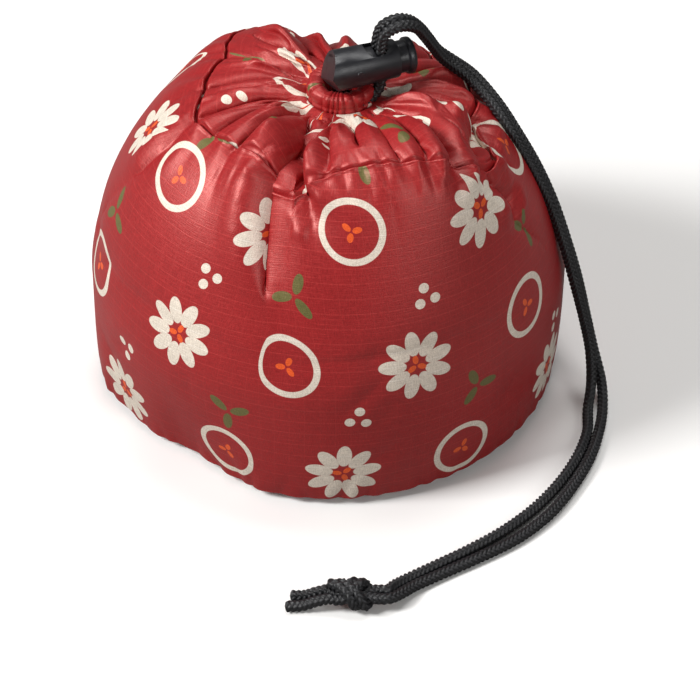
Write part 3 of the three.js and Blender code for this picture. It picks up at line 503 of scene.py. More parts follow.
def scattered(finish, flat, pitch, seed, jitter):
    """Cells of the print that step sideways row by row, each turned and moved by chance.
    Returns the place in the cell, seen from its motif's middle, and which of two motifs it has."""
    cell = add(finish, "VectorMath", {0: flat, 1: (pitch, pitch, 1)}, operation="DIVIDE")
    parts = add(finish, "SeparateXYZ", {0: cell}, output=None)
    row = add(finish, "Math", {0: parts.outputs["Y"]}, operation="FLOOR")
    slid = add(finish, "Math", {0: row, 1: 0.38, 2: parts.outputs["X"]}, operation="MULTIPLY_ADD")
    column = add(finish, "Math", {0: slid}, operation="FLOOR")
    whole = add(finish, "CombineXYZ", {0: column, 1: row, 2: seed})
    chance = add(finish, "TexWhiteNoise", {"Vector": whole}, output=None, noise_dimensions="3D")
    spot = add(finish, "CombineXYZ", {0: slid, 1: parts.outputs["Y"], 2: seed})
    inside = add(finish, "VectorMath", {0: spot, 1: whole}, operation="SUBTRACT")
    moved = add(finish, "VectorMath", {0: chance.outputs["Color"], 1: (jitter, jitter, 0),
                                       2: (0.5 - jitter / 2, 0.5 - jitter / 2, 0)},
                operation="MULTIPLY_ADD")
    centred = add(finish, "VectorMath", {0: inside, 1: moved}, operation="SUBTRACT")
    sized = add(finish, "VectorMath", {0: centred, 1: (pitch, pitch, 0)}, operation="MULTIPLY")
    turn = add(finish, "Math", {0: chance.outputs["Value"], 1: 2 * math.pi}, operation="MULTIPLY")
    turned = add(finish, "VectorRotate", {"Vector": sized, "Angle": turn}, rotation_type="Z_AXIS")
    both = add(finish, "Math", {0: column, 1: row}, operation="ADD")
    half = add(finish, "Math", {0: both, 1: 2.0}, operation="FLOORED_MODULO")
    return turned, half


def petals(finish, place, count):
    """The place seen from the middle of the nearest petal or leaf, turned to lie along X."""
    parts = add(finish, "SeparateXYZ", {0: place}, output=None)
    angle = add(finish, "Math", {0: parts.outputs["Y"], 1: parts.outputs["X"]}, operation="ARCTAN2")
    step = 2 * math.pi / count
    near = add(finish, "Math", {0: angle, 1: step / 2}, operation="ADD")
    inside = add(finish, "Math", {0: near, 1: step}, operation="FLOORED_MODULO")
    folded = add(finish, "Math", {0: inside, 1: step / 2}, operation="SUBTRACT")
    far = add(finish, "VectorMath", {0: place}, operation="LENGTH", output="Value")
    x = add(finish, "Math", {0: folded}, operation="COSINE")
    y = add(finish, "Math", {0: folded}, operation="SINE")
    unit = add(finish, "CombineXYZ", {0: x, 1: y})
    return add(finish, "VectorMath", {0: unit, "Scale": far}, operation="SCALE"), far


def oval(finish, place, middle, half_length, half_width):
    """1 inside an oval on the X axis, with an edge as soft as wet ink on cloth."""
    shifted = add(finish, "VectorMath", {0: place, 1: (middle, 0, 0)}, operation="SUBTRACT")
    scaled = add(finish, "VectorMath", {0: shifted, 1: (half_length, half_width, 1)}, operation="DIVIDE")
    size = add(finish, "VectorMath", {0: scaled}, operation="LENGTH", output="Value")
    return add(finish, "MapRange", {"Value": size, "From Min": 1.03, "From Max": 0.97})


def printed_ripstop():
    finish, shader = new_finish("printed_ripstop_nylon")
    uv = add(finish, "UVMap", {}, uv_map="flat_cloth")
    flat = add(finish, "VectorMath", {0: uv, "Scale": 1000.0}, operation="SCALE")
    parts = add(finish, "SeparateXYZ", {0: flat}, output=None)
    # thicker threads in both directions
    lines = []
    for axis, strength in (("X", 0.16), ("Y", 0.42)):
        far = add(finish, "Math", {0: parts.outputs[axis], 1: RIPSTOP_PITCH / 2}, operation="PINGPONG")
        lines.append(add(finish, "MapRange", {"Value": far, "From Min": RIPSTOP_LINE,
                                              "From Max": RIPSTOP_LINE / 3, "To Max": strength}))
    grid = add(finish, "Math", {0: lines[0], 1: lines[1]}, operation="MAXIMUM")
    # fine weft threads between them, that come and go
    fine = add(finish, "Math", {0: parts.outputs["Y"], 1: RIPSTOP_PITCH / 6}, operation="PINGPONG")
    thread = add(finish, "MapRange", {"Value": fine, "From Min": 0.2, "From Max": 0.04})
    patches = add(finish, "TexNoise", {"Vector": flat, "Scale": 0.16, "Detail": 3.0})
    shown = add(finish, "MapRange", {"Value": patches, "From Min": 0.42, "From Max": 0.62, "To Max": 0.3})
    weft = add(finish, "Math", {0: thread, 1: shown}, operation="MULTIPLY")
    # slubs: streaks of slightly thicker yarn both ways
    slubs = []
    for stretch in ((0.3, 3.4, 1), (3.0, 0.5, 1)):
        along = add(finish, "VectorMath", {0: flat, 1: stretch}, operation="MULTIPLY")
        slubs.append(add(finish, "TexNoise", {"Vector": along, "Scale": 1.0, "Detail": 2.0}))
    weave = add(finish, "Math", {0: slubs[0], 1: slubs[1]}, operation="ADD")
    fade = add(finish, "TexNoise", {"Vector": flat, "Scale": 0.035, "Detail": 3.0})
    # the print's large motifs, daisies and rings, each with a heart
    place, which = scattered(finish, flat, LARGE_PITCH, 3.0, 0.16)
    petal, far = petals(finish, place, 9)
    daisy = oval(finish, petal, FLOWER_RADIUS * 0.64, FLOWER_RADIUS * 0.37, FLOWER_RADIUS * 0.2)
    band = add(finish, "Math", {0: far, 1: FLOWER_RADIUS * 0.78}, operation="SUBTRACT")
    away = add(finish, "Math", {0: band}, operation="ABSOLUTE")
    ring = add(finish, "MapRange", {"Value": away, "From Min": 1.15, "From Max": 0.95})
    flower = add(finish, "Mix", {0: which, 2: daisy, 3: ring}, data_type="FLOAT")
    stamen = petals(finish, place, 3)[0]
    heart = oval(finish, stamen, 1.9, 1.5, 0.95)
    # its small motifs between them, sprigs and groups of dots
    shifted = add(finish, "VectorMath", {0: flat, 1: (LARGE_PITCH * 0.5, LARGE_PITCH * 0.5, 0)},
                  operation="ADD")
    place, which = scattered(finish, shifted, SMALL_PITCH, 8.0, 0.14)
    leaf, far = petals(finish, place, 3)
    sprig = oval(finish, leaf, SPRIG_RADIUS * 0.52, SPRIG_RADIUS * 0.42, SPRIG_RADIUS * 0.2)
    dots = oval(finish, leaf, SPRIG_RADIUS * 0.36, SPRIG_RADIUS * 0.2, SPRIG_RADIUS * 0.2)
    swapped = add(finish, "Math", {0: 1.0, 1: which}, operation="SUBTRACT")
    olive = add(finish, "Math", {0: sprig, 1: which}, operation="MULTIPLY")
    small_cream = add(finish, "Math", {0: dots, 1: swapped}, operation="MULTIPLY")
    cream = add(finish, "Math", {0: flower, 1: small_cream}, operation="MAXIMUM")
    # colours, ground first and each ink over it
    lit = add(finish, "Math", {0: grid, 1: weft}, operation="MAXIMUM")
    colour = add(finish, "Mix", {0: lit, 6: paint(CLOTH_RED), 7: paint(CLOTH_GRID_RED)},
                 data_type="RGBA", output=2)
    white = add(finish, "Mix", {0: grid, 6: paint(PRINT_CREAM), 7: paint(PRINT_GRID_WHITE)},
                data_type="RGBA", output=2)
    for ink, mask in ((paint(PRINT_OLIVE), olive), (white, cream), (paint(PRINT_ORANGE), heart)):
        colour = add(finish, "Mix", {0: mask, 6: colour, 7: ink}, data_type="RGBA", output=2)
    # uneven yarn, wear and the fine grain of the weave lighten and darken the colours
    tone = add(finish, "MapRange", {"Value": weave, "From Min": 0.6, "From Max": 1.4, "To Min": 0.74,
                                    "To Max": 1.2})
    wash = add(finish, "MapRange", {"Value": fade, "From Min": 0.3, "From Max": 0.7, "To Min": 0.95,
                                    "To Max": 1.05})
    grain = add(finish, "TexNoise", {"Vector": flat, "Scale": 3.2, "Detail": 1.0})
    speckle = add(finish, "MapRange", {"Value": grain, "From Min": 0.3, "From Max": 0.7, "To Min": 0.84,
                                       "To Max": 1.16})
    light = add(finish, "Math", {0: tone, 1: wash}, operation="MULTIPLY")
    light = add(finish, "Math", {0: light, 1: speckle}, operation="MULTIPLY")
    colour = add(finish, "HueSaturation", {"Color": colour, "Value": light})
    rough = add(finish, "MapRange", {"Value": weave, "From Min": 0.6, "From Max": 1.4, "To Min": 0.36,
                                     "To Max": 0.52})
    raised = add(finish, "Math", {0: grid, 1: 0.35, 2: weave}, operation="MULTIPLY_ADD")
    bump = add(finish, "Bump", {"Height": raised, "Strength": 0.5, "Distance": 0.12 * MM})
    connect(finish, shader, {"Base Color": colour, "Roughness": rough, "Normal": bump, "IOR": 1.53,
                             "Specular IOR Level": 1.0, "Specular Tint": paint(SATIN_TINT)})
    return finish


cloth_finish = printed_ripstop()


def wrapped(name, columns, rows, place_at, finish, body):
    """A piece that starts as a flat grid and is wrapped to its shape, with the edges that meet joined.
    place_at takes grid shares across and up, and returns places in mm and the flat cloth's own in mm."""
    bm = bmesh.new()
    bmesh.ops.create_grid(bm, x_segments=columns, y_segments=rows, size=0.5)
    flat = np.array([(v.co.x + 0.5, v.co.y + 0.5) for v in bm.verts])
    across = np.rint(flat[:, 0] * columns).astype(int)
    up = np.rint(flat[:, 1] * rows).astype(int)
    places, cut = place_at(np.arange(columns + 1) / columns, np.arange(rows + 1) / rows)
    uv = bm.loops.layers.uv.new("flat_cloth")
    for face in bm.faces:
        for loop in face.loops:
            i = loop.vert.index
            loop[uv].uv = cut[up[i], across[i]] * MM
        face.smooth = True
    for v, place in zip(bm.verts, places[up, across] * MM):
        v.co = place
    bmesh.ops.remove_doubles(bm, verts=bm.verts, dist=1e-6)
    piece = made(name, bm)
    piece.data.materials.append(finish)
    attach(piece, body)
    return piece


# How far beside a gather its spare cloth is taken up, in degrees.
GATHER_REACH = 2.2


def cloth_cut(places, smooth, azimuths, boundaries, width):
    """Where each place lies on the flat cloth, in mm.
    Between two gathers the cloth is as wide as it looks, and the rest of its width is in the gathers."""
    step = np.linalg.norm(np.diff(places, axis=1), axis=-1)
    arc = np.concatenate([np.zeros((len(places), 1)), np.cumsum(step, axis=1)], axis=1)
    rise = np.linalg.norm(np.diff(smooth, axis=0), axis=-1)
    v = np.concatenate([np.zeros((1, places.shape[1])), np.cumsum(rise, axis=0)])
    u = np.zeros(arc.shape)
    for row in range(len(places)):
        edges = np.sort(boundaries(row))
        middles = (edges + np.append(edges[1:], edges[0] + 360)) / 2
        total = arc[row, -1]
        k = np.searchsorted(edges, azimuths, side="right") - 1

        def seen_from(panel):
            middle = middles[panel % len(edges)] + 360 * (panel // len(edges))
            turns = np.floor((middle + 180) / 360)
            at = np.interp(middle - 360 * turns, azimuths, arc[row]) + total * turns
            return width * middle / 360 + arc[row] - at

        lower = edges[k % len(edges)] + 360 * (k // len(edges))
        upper = edges[(k + 1) % len(edges)] + 360 * ((k + 1) // len(edges))
        below, above = azimuths - lower, upper - azimuths
        neighbour = np.where(below < above, k - 1, k + 1)
        keep = 0.5 + 0.5 * smoothstep(np.minimum(below, above) / GATHER_REACH)
        u[row] = keep * seen_from(k) + (1 - keep) * seen_from(neighbour)
    return np.stack([u, v], -1)


# Base panel
# A round of the same cloth under the bag, sewn to the wall all round. It is flat where the bag
# stands and turns up a little at the seam.
BASE_FLAT_RADIUS = 62
BASE_COLUMNS = 180
BASE_ROWS = 24
SEAM_INSET = 0.9
SEAM_HEIGHT = 2.9
SEAM_PUCKERS = 53
PUCKER_DEPTH = 0.25
FLOOR_CLEARANCE = 0.02


def base_place(across, up):
    azimuths = -180 + 360 * across
    edge = FOOT_RADIUS + around(FOOT, azimuths, 1) - SEAM_INSET
    share, azimuth = np.meshgrid(up, azimuths, indexing="ij")
    radius = edge * share
    height = SEAM_HEIGHT * np.clip((radius - BASE_FLAT_RADIUS) / (edge - BASE_FLAT_RADIUS), 0, 1)**2
    angle = np.radians(azimuth)
    pucker = PUCKER_DEPTH * np.sin(angle * SEAM_PUCKERS) * share**12
    places = np.stack([radius * np.sin(angle), -radius * np.cos(angle),
                       np.maximum(height + pucker, FLOOR_CLEARANCE)], -1)
    return places, places[..., :2]


base = wrapped("base_cloth", BASE_COLUMNS, BASE_ROWS, base_place, cloth_finish, "bag")
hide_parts("base_panel")

# Wall panel
# The wall is one length of cloth sewn into a tube. Its upper edge is turned in at the rim, where
# the yoke is sewn behind it, and the tucks take up the cloth that the smaller rim has no room for.
WALL_WIDTH = 485
WALL_COLUMNS = 500
WALL_ROWS = 150
HEM_ROWS = 12
HEM_TURN_ROWS = 6
HEM_THICKNESS = 0.9
HEM_DEPTH = 3.2
# Where the print starts on this piece of cloth.
WALL_PRINT_SHIFT = (17, 9)


def wall_tucks(row):
    """Azimuths of the valleys that take up the wall's spare cloth, at one height."""
    up = min(row / WALL_ROWS, 1)
    high = smoothstep((up - 0.6) / 0.4)
    left = -82 + 12 * high
    right = 68 - 13 * high
    return np.array([-158, -126, left, -17, right, 102, 134, 166], float)


def inward_from(places):
    """Which way the neck lies, level, seen from each place."""
    away = np.zeros_like(places)
    away[..., 0] = NECK_CENTRE[0] - places[..., 0]
    away[..., 1] = NECK_CENTRE[1] - places[..., 1]
    return away / np.linalg.norm(away, axis=-1, keepdims=True)


def wall_place(across, up):
    azimuths = -180 + 360 * across
    station = RIM_AT * np.arange(WALL_ROWS + 1) / WALL_ROWS
    st, az = np.meshgrid(station, azimuths, indexing="ij")
    panel = cloth(azimuths, station)
    cut = cloth_cut(panel, smooth_body(az, st), azimuths, wall_tucks, WALL_WIDTH)
    rim, inward = panel[-1], inward_from(panel[-1])
    hem, hem_cut = [], []
    for i in range(1, HEM_ROWS + 1):
        turn = min(i / HEM_TURN_ROWS, 1) * math.pi
        fall = max(i - HEM_TURN_ROWS, 0) / (HEM_ROWS - HEM_TURN_ROWS) * HEM_DEPTH
        lift = math.sin(turn) * HEM_THICKNESS / 2
        place = rim + inward * (1 - math.cos(turn)) * HEM_THICKNESS / 2
        place[:, 2] += lift - fall
        hem.append(place)
        further = cut[-1].copy()
        further[:, 1] += HEM_THICKNESS / 2 * turn + fall
        hem_cut.append(further)
    return np.concatenate([panel, hem]), np.concatenate([cut, hem_cut]) + np.array(WALL_PRINT_SHIFT)


wall = wrapped("wall_cloth", WALL_COLUMNS, WALL_ROWS + HEM_ROWS, wall_place, cloth_finish, "bag")
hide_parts("wall_panel")

# Yoke
# The gathered top: a band of cloth sewn inside the rim, drawn in to the neck by the cord. Its spare
# width lies in gathers that fan out from the neck.
YOKE_WIDTH = 400
YOKE_COLUMNS = 500
YOKE_ROWS = 130
# At the rim the yoke lies inside the wall and starts below its edge.
YOKE_INSET = 1.05
YOKE_TUCK = 1.6
# At the neck it turns in and down under the casing.
NECK_TURN_ROWS = 8
NECK_TURN_WIDTH = 5.5
NECK_TURN_DROP = 2.4
NECK_TURN_CLOTH = 0.8
YOKE_PRINT_SHIFT = (30, 31)

# The valleys between gathers: azimuth at the rim and at the neck.
YOKE_GATHERS = [
    (-158, -156), (-141, -145), (-123, -130), (-90, -116), (-73, -74), (-57, -59), (-43, -49), (-17, -29),
    (0, -10), (26, 29), (43, 45), (57, 60), (83, 83), (102, 102), (118, 118), (134, 134), (150, 150),
    (166, 166), (182, 182),
]


def yoke_gathers(row):
    """Azimuths of the valleys between gathers, at one distance from the neck."""
    up = smoothstep((row / YOKE_ROWS - 0.1) / 0.8)
    rim, neck = np.array(YOKE_GATHERS).T
    found = rim + (neck - rim) * up
    return np.sort((found + 180) % 360 - 180)


def yoke_place(across, up):
    azimuths = -180 + 360 * across
    station = RIM_AT + (1 - RIM_AT) * np.arange(YOKE_ROWS + 1) / YOKE_ROWS
    st, az = np.meshgrid(station, azimuths, indexing="ij")
    band = cloth(azimuths, station)
    near_rim = 1 - smoothstep((st - RIM_AT) / 0.035)
    band += inward_from(band) * (YOKE_INSET * near_rim)[..., None]
    band[..., 2] -= YOKE_TUCK * (1 - smoothstep((st - RIM_AT) / 0.02))
    cut = cloth_cut(band, smooth_body(az, st), azimuths, yoke_gathers, YOKE_WIDTH)
    lip, inward = band[-1], inward_from(band[-1])
    turned, turned_cut = [], []
    for i in range(1, NECK_TURN_ROWS + 1):
        place = lip + inward * NECK_TURN_WIDTH * i / NECK_TURN_ROWS
        place[:, 2] -= NECK_TURN_DROP * math.sin(math.pi / 2 * min(2 * i / NECK_TURN_ROWS, 1))
        turned.append(place)
        turned_cut.append(cut[-1] + np.array([0, i * NECK_TURN_CLOTH]))
    return np.concatenate([band, turned]), np.concatenate([cut, turned_cut]) + np.array(YOKE_PRINT_SHIFT)


yoke = wrapped("yoke_cloth", YOKE_COLUMNS, YOKE_ROWS + NECK_TURN_ROWS, yoke_place, cloth_finish, "bag")
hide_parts("top_yoke")

# Casing
# The channel that the cord runs in: the same cloth doubled over and sewn down below the cord. Pulled
# shut it is a ruffled ring, and its gathers stand in fine upright pleats.
CASING_OUTER = 10.7
CASING_INNER = 5.6
CASING_LOW = 104.85
CASING_TOP = 112.5
CASING_COLUMNS = 360
CASING_ROWS = 48
CASING_PLEATS = 23
PLEAT_DEPTH = 0.42
PLEAT_ROUNDNESS = 0.7
CASING_WIDTH = 110
CASING_PRINT_SHIFT = (6, 30)

# The ring's section, from the outer foot over the top and down inside: shares of its width and height.
CASING_SECTION = [
    (0.93, 0), (1.0, 0.16), (1.0, 0.34), (0.93, 0.42), (0.98, 0.56), (1.0, 0.72), (0.93, 0.88),
    (0.76, 0.97), (0.5, 1.0), (0.26, 0.97), (0.08, 0.86), (0, 0.68), (0.02, 0.4), (0, 0),
]


def casing_place(across, up):
    azimuths = -180 + 360 * across
    corners = np.array(CASING_SECTION)
    arc = np.concatenate([[0], np.cumsum(np.linalg.norm(np.diff(corners * (5, 8), axis=0), axis=1))])
    wide = np.interp(up * arc[-1], arc, corners[:, 0])
    high = np.interp(up * arc[-1], arc, corners[:, 1])
    share, azimuth = np.meshgrid(wide, azimuths, indexing="ij")
    tall = np.meshgrid(high, azimuths, indexing="ij")[0]
    angle = np.radians(azimuth)
    # the pleats are uneven in width and lean a little
    wander = (angle + 0.16 * np.sin(3 * angle + 0.6) + 0.07 * np.sin(7 * angle + 2)
              + 0.1 * tall * np.sin(5 * angle))
    pleat = 1 - 2 * np.abs(np.sin(wander * CASING_PLEATS / 2))**PLEAT_ROUNDNESS
    swell = PLEAT_DEPTH * pleat * (2 * share - 1) * 0.9
    radius = CASING_INNER + (CASING_OUTER - CASING_INNER) * share - swell
    height = CASING_LOW + (CASING_TOP - CASING_LOW) * tall - 0.5 * PLEAT_DEPTH * (1 + pleat) * tall
    places = np.stack([NECK_CENTRE[0] + radius * np.sin(angle), NECK_CENTRE[1] - radius * np.cos(angle),
                       height], -1)
    run = np.meshgrid(up * arc[-1], azimuths, indexing="ij")[0]
    cut = np.stack([azimuth / 360 * CASING_WIDTH + CASING_PRINT_SHIFT[0], run + CASING_PRINT_SHIFT[1]], -1)
    return places, cut


casing = wrapped("casing_cloth", CASING_COLUMNS, CASING_ROWS, casing_place, cloth_finish, "bag")
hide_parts("drawstring_casing")

# Lock
# A single-barrel cord lock of moulded acetal, black with a satin skin. The mould's fine spark texture
# breaks up its shine, and handling has polished it in places. The spring inside is drawn steel wire,
# bright, with fine marks of the die along it.


def moulded_acetal():
    finish, shader = new_finish("moulded_black_acetal")
    place = add(finish, "TexCoord", {}, output="Object")
    skin = add(finish, "TexNoise", {"Vector": place, "Scale": 2600.0, "Detail": 3.0})
    wear = add(finish, "TexNoise", {"Vector": place, "Scale": 260.0, "Detail": 4.0})
    colour = add(finish, "Mix", {0: wear, 6: paint("161619"), 7: paint("232328")},
                 data_type="RGBA", output=2)
    rough = add(finish, "MapRange", {"Value": wear, "From Min": 0.3, "From Max": 0.7, "To Min": 0.3,
                                     "To Max": 0.46})
    bump = add(finish, "Bump", {"Height": skin, "Strength": 0.6, "Distance": 0.06 * MM})
    connect(finish, shader, {"Base Color": colour, "Roughness": rough, "Normal": bump, "IOR": 1.48})
    return finish


def drawn_steel():
    finish, shader = new_finish("drawn_spring_steel")
    place = add(finish, "TexCoord", {}, output="Object")
    marks = add(finish, "TexNoise", {"Vector": place, "Scale": 1800.0, "Detail": 3.0})
    colour = add(finish, "Mix", {0: marks, 6: paint("A9ABAE"), 7: paint("D2D3D5")},
                 data_type="RGBA", output=2)
    rough = add(finish, "MapRange", {"Value": marks, "To Min": 0.22, "To Max": 0.4})
    connect(finish, shader, {"Base Color": colour, "Roughness": rough, "Metallic": 1.0})
    return finish


lock_finish, spring_finish = moulded_acetal(), drawn_steel()
for material_slot in bpy.data.objects["lock_spring"].material_slots:
    material_slot.material = spring_finish

LOCK_TURN = math.radians(20.6)
LOCK_MIDDLE = Vector((12.5, -2.7, 119.5)) * MM
LOCK_PLACE = Matrix.Translation(LOCK_MIDDLE) @ Matrix.Rotation(LOCK_TURN, 4, "Z")
LOCK_HALF = 14.25
SLOT_LENGTH = 7.1
SLOT_WIDTH = 8.0
SLOT_CORNER = 2.6
SLOT_REACH = 40
LOCK_EDGE = 0.28
HOUSING_SLOT_AT = 1.8
PLUNGER_SLOT_AT = 4.8
# The barrel's closed end has two flat facets. They meet off its middle, and are rolled about its length.
FACET_TILTS = (math.radians(20), math.radians(-34))
FACET_ROLL = math.radians(29)
FACET_OFFSET = -2.0
FACET_EDGE = 0.4
BORE_RADIUS = 5.4
# A small raised crescent on the barrel's front, laid against its round wall.
MARK_RADIUS = 1.0
MARK_THICKNESS = 0.24
MARK_SWEEP = math.radians(150)
MARK_TURN = math.radians(15)
MARK_TILT = math.radians(82)
MARK_PLACE = Vector((-5, -6.34, 0.9)) * MM

# Each part's section from its closed end: stations along the lock and radii.
HOUSING_SECTION = [
    (-LOCK_HALF, 0), (-LOCK_HALF, 6.5), (-8.25, 6.5), (8.3, 6.06), (8.58, 5.95), (8.65, 5.75),
    (8.65, BORE_RADIUS), (-11.85, BORE_RADIUS), (-11.85, 0),
]
PLUNGER_SECTION = [
    (-4.85, 0), (-4.85, 5.1), (11.2, 5.1), (11.6, 5.2), (11.75, 5.45), (11.85, 5.7), (12.1, 5.8),
    (13.3, 5.78), (13.8, 5.55), (14.12, 5.1), (14.25, 4.5), (14.25, 3.9), (14.05, 3.6), (13.95, 0),
]


def turned_part(section, facets):
    """A solid turned about the lock's length, with facets, given by their tilts, on its closed end."""
    bm = bmesh.new()
    corners = [bm.verts.new((station * MM, 0, radius * MM)) for station, radius in section]
    edges = [bm.edges.new(pair) for pair in zip(corners, corners[1:])]
    bmesh.ops.spin(bm, geom=corners + edges, cent=(0, 0, 0), axis=(1, 0, 0), angle=2 * math.pi, steps=72,
                   use_merge=True)
    bmesh.ops.remove_doubles(bm, verts=bm.verts, dist=1e-6)
    bmesh.ops.recalc_face_normals(bm, faces=bm.faces)
    across = Vector((0, math.sin(FACET_ROLL), math.cos(FACET_ROLL)))
    for tilt in facets:
        facing = Vector((-math.cos(tilt), 0, 0)) + across * math.sin(tilt)
        start = Vector((-LOCK_HALF * MM, 0, 0)) + across * FACET_OFFSET * MM
        cut = bmesh.ops.bisect_plane(bm, geom=bm.verts[:] + bm.edges[:] + bm.faces[:], plane_co=start,
                                     plane_no=facing, clear_outer=True)
        rim = [edge for edge in cut["geom_cut"] if isinstance(edge, bmesh.types.BMEdge)]
        bmesh.ops.edgeloop_fill(bm, edges=rim)
    if facets:
        # the facets' own edges are rounded, on the closed end and outside the bore
        sharp = [e for e in bm.edges if len(e.link_faces) == 2 and e.calc_face_angle() > math.radians(16)
                 and max(v.co.x for v in e.verts) < -8.5 * MM
                 and max(v.co.yz.length for v in e.verts) > (BORE_RADIUS + 0.05) * MM]
        bmesh.ops.bevel(bm, geom=sharp, offset=FACET_EDGE * MM, segments=3, affect="EDGES", profile=0.5,
                        material=-1, clamp_overlap=True)
    bmesh.ops.recalc_face_normals(bm, faces=bm.faces)
    return bm


def slot_through(slot_at):
    """The rounded bar of air that both strands of the cord run through."""
    bm = bmesh.new()
    bmesh.ops.create_cube(bm, size=1)
    bmesh.ops.scale(bm, verts=bm.verts, vec=(SLOT_LENGTH * MM, SLOT_WIDTH * MM, SLOT_REACH * MM))
    upright = [e for e in bm.edges if abs(e.verts[0].co.z - e.verts[1].co.z) > MM]
    bmesh.ops.bevel(bm, geom=upright, offset=SLOT_CORNER * MM, segments=8, affect="EDGES", profile=0.5,
                    material=-1)
    bmesh.ops.translate(bm, verts=bm.verts, vec=(slot_at * MM, 0, 0))
    return bm


def lock_part(name, section, slot_at, facets, body):
    """One moulded part of the lock, in its place, with the slot through it and its edges rounded."""
    part = made(name, turned_part(section, facets))
    air = made("slot", slot_through(slot_at))
    hole = part.modifiers.new("slot", "BOOLEAN")
    hole.object = air
    hole.operation = "DIFFERENCE"
    hole.solver = "EXACT"
    rounded = part.modifiers.new("edges", "BEVEL")
    rounded.limit_method = "ANGLE"
    rounded.angle_limit = math.radians(50)
    rounded.width = LOCK_EDGE * MM
    rounded.segments = 2
    finished = bpy.data.meshes.new_from_object(part.evaluated_get(bpy.context.evaluated_depsgraph_get()))
    part.modifiers.clear()
    bpy.data.objects.remove(air)
    finished.transform(LOCK_PLACE)
    finished.name = name
    part.data = finished
    finished.materials.clear()
    finished.materials.append(lock_finish)
    finished.shade_smooth()
    finished.set_sharp_from_angle(angle=math.radians(38))
    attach(part, body)
    return part


def joined(pieces):
    """Makes the later pieces a part of the first."""
    with bpy.context.temp_override(active_object=pieces[0], selected_editable_objects=pieces):
        bpy.ops.object.join()


def moulded_mark():
    """The small raised crescent on the barrel's front, left by the mould."""
    bm = bmesh.new()
    bmesh.ops.create_circle(bm, cap_ends=False, radius=MARK_THICKNESS * MM, segments=10)
    bmesh.ops.rotate(bm, verts=bm.verts, matrix=Matrix.Rotation(math.pi / 2, 3, "X"))
    bmesh.ops.translate(bm, verts=bm.verts, vec=(MARK_RADIUS * MM, 0, 0))
    bmesh.ops.spin(bm, geom=bm.verts[:] + bm.edges[:], cent=(0, 0, 0), axis=(0, 0, 1),
                   angle=MARK_SWEEP, steps=14)
    ends = [e for e in bm.edges if e.is_boundary]
    bmesh.ops.holes_fill(bm, edges=ends)
    bmesh.ops.rotate(bm, verts=bm.verts, matrix=Matrix.Rotation(MARK_TURN, 3, "Z"))
    bmesh.ops.rotate(bm, verts=bm.verts, matrix=Matrix.Rotation(MARK_TILT, 3, "X"))
    bmesh.ops.translate(bm, verts=bm.verts, vec=MARK_PLACE)
    bmesh.ops.recalc_face_normals(bm, faces=bm.faces)
    bmesh.ops.transform(bm, verts=bm.verts, matrix=LOCK_PLACE)
    for face in bm.faces:
        face.smooth = True
    mark = made("lock_mark", bm)
    mark.data.materials.append(lock_finish)
    return mark


lock_barrel = lock_part("lock_barrel", HOUSING_SECTION, HOUSING_SLOT_AT, FACET_TILTS, "bag")
lock_button = lock_part("lock_button", PLUNGER_SECTION, PLUNGER_SLOT_AT, (), "plunger")
joined([lock_barrel, moulded_mark()])
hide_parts("lock_housing")
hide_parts("lock_plunger")

# Cord
# A braided polyester cord with a hollow core. It is one length: in at one end of the casing, round
# the neck and out at the other, both strands up through the lock and down to one knot.
CORD_DIAMETER = 3.5
YARN_COLUMNS = 6
YARN_PITCH = 1.7
CORD_CORE = 1.05
YARN_BULGE = 0.15
CORD_AROUND = 36
CORD_STEP = 0.28

# Where each strand goes, in metres, from its way out of the casing to the knot.
FRONT_WAY = [
    (0.0081, -0.0081, 0.1075), (0.0102, -0.0069, 0.1075), (0.0125, -0.0055, 0.108),
    (0.0145, -0.0044, 0.1096), (0.0158, -0.0036, 0.1118), (0.0163, -0.0034, 0.1145),
    (0.0163, -0.0034, 0.1191), (0.0163, -0.0034, 0.126),
    (0.0176, -0.0034, 0.131), (0.0219, -0.0026, 0.1332), (0.0264, 0, 0.1312), (0.0296, 0.0034, 0.1254),
    (0.0324, 0.0068, 0.119), (0.0354, 0.0098, 0.1128), (0.0388, 0.0108, 0.109), (0.0436, 0.0086, 0.1062),
    (0.0512, 0.001, 0.1016), (0.058, -0.0059, 0.0938), (0.0642, -0.01, 0.0838), (0.0698, -0.0132, 0.0728),
    (0.0744, -0.0166, 0.0602), (0.0784, -0.0186, 0.046), (0.0822, -0.0192, 0.031), (0.085, -0.0204, 0.0174),
    (0.0856, -0.025, 0.007), (0.0844, -0.0318, 0.0022), (0.0836, -0.042, 0.0018), (0.08, -0.0534, 0.0018),
    (0.0738, -0.0656, 0.0018), (0.0654, -0.0774, 0.0018), (0.0552, -0.0878, 0.0018),
    (0.0438, -0.0966, 0.0018), (0.0322, -0.1042, 0.0018), (0.0244, -0.1096, 0.0022),
    (0.02, -0.114, 0.0036), (0.0181, -0.117, 0.0047), (0.0151, -0.117, 0.0047), (0.0121, -0.1172, 0.0047),
]
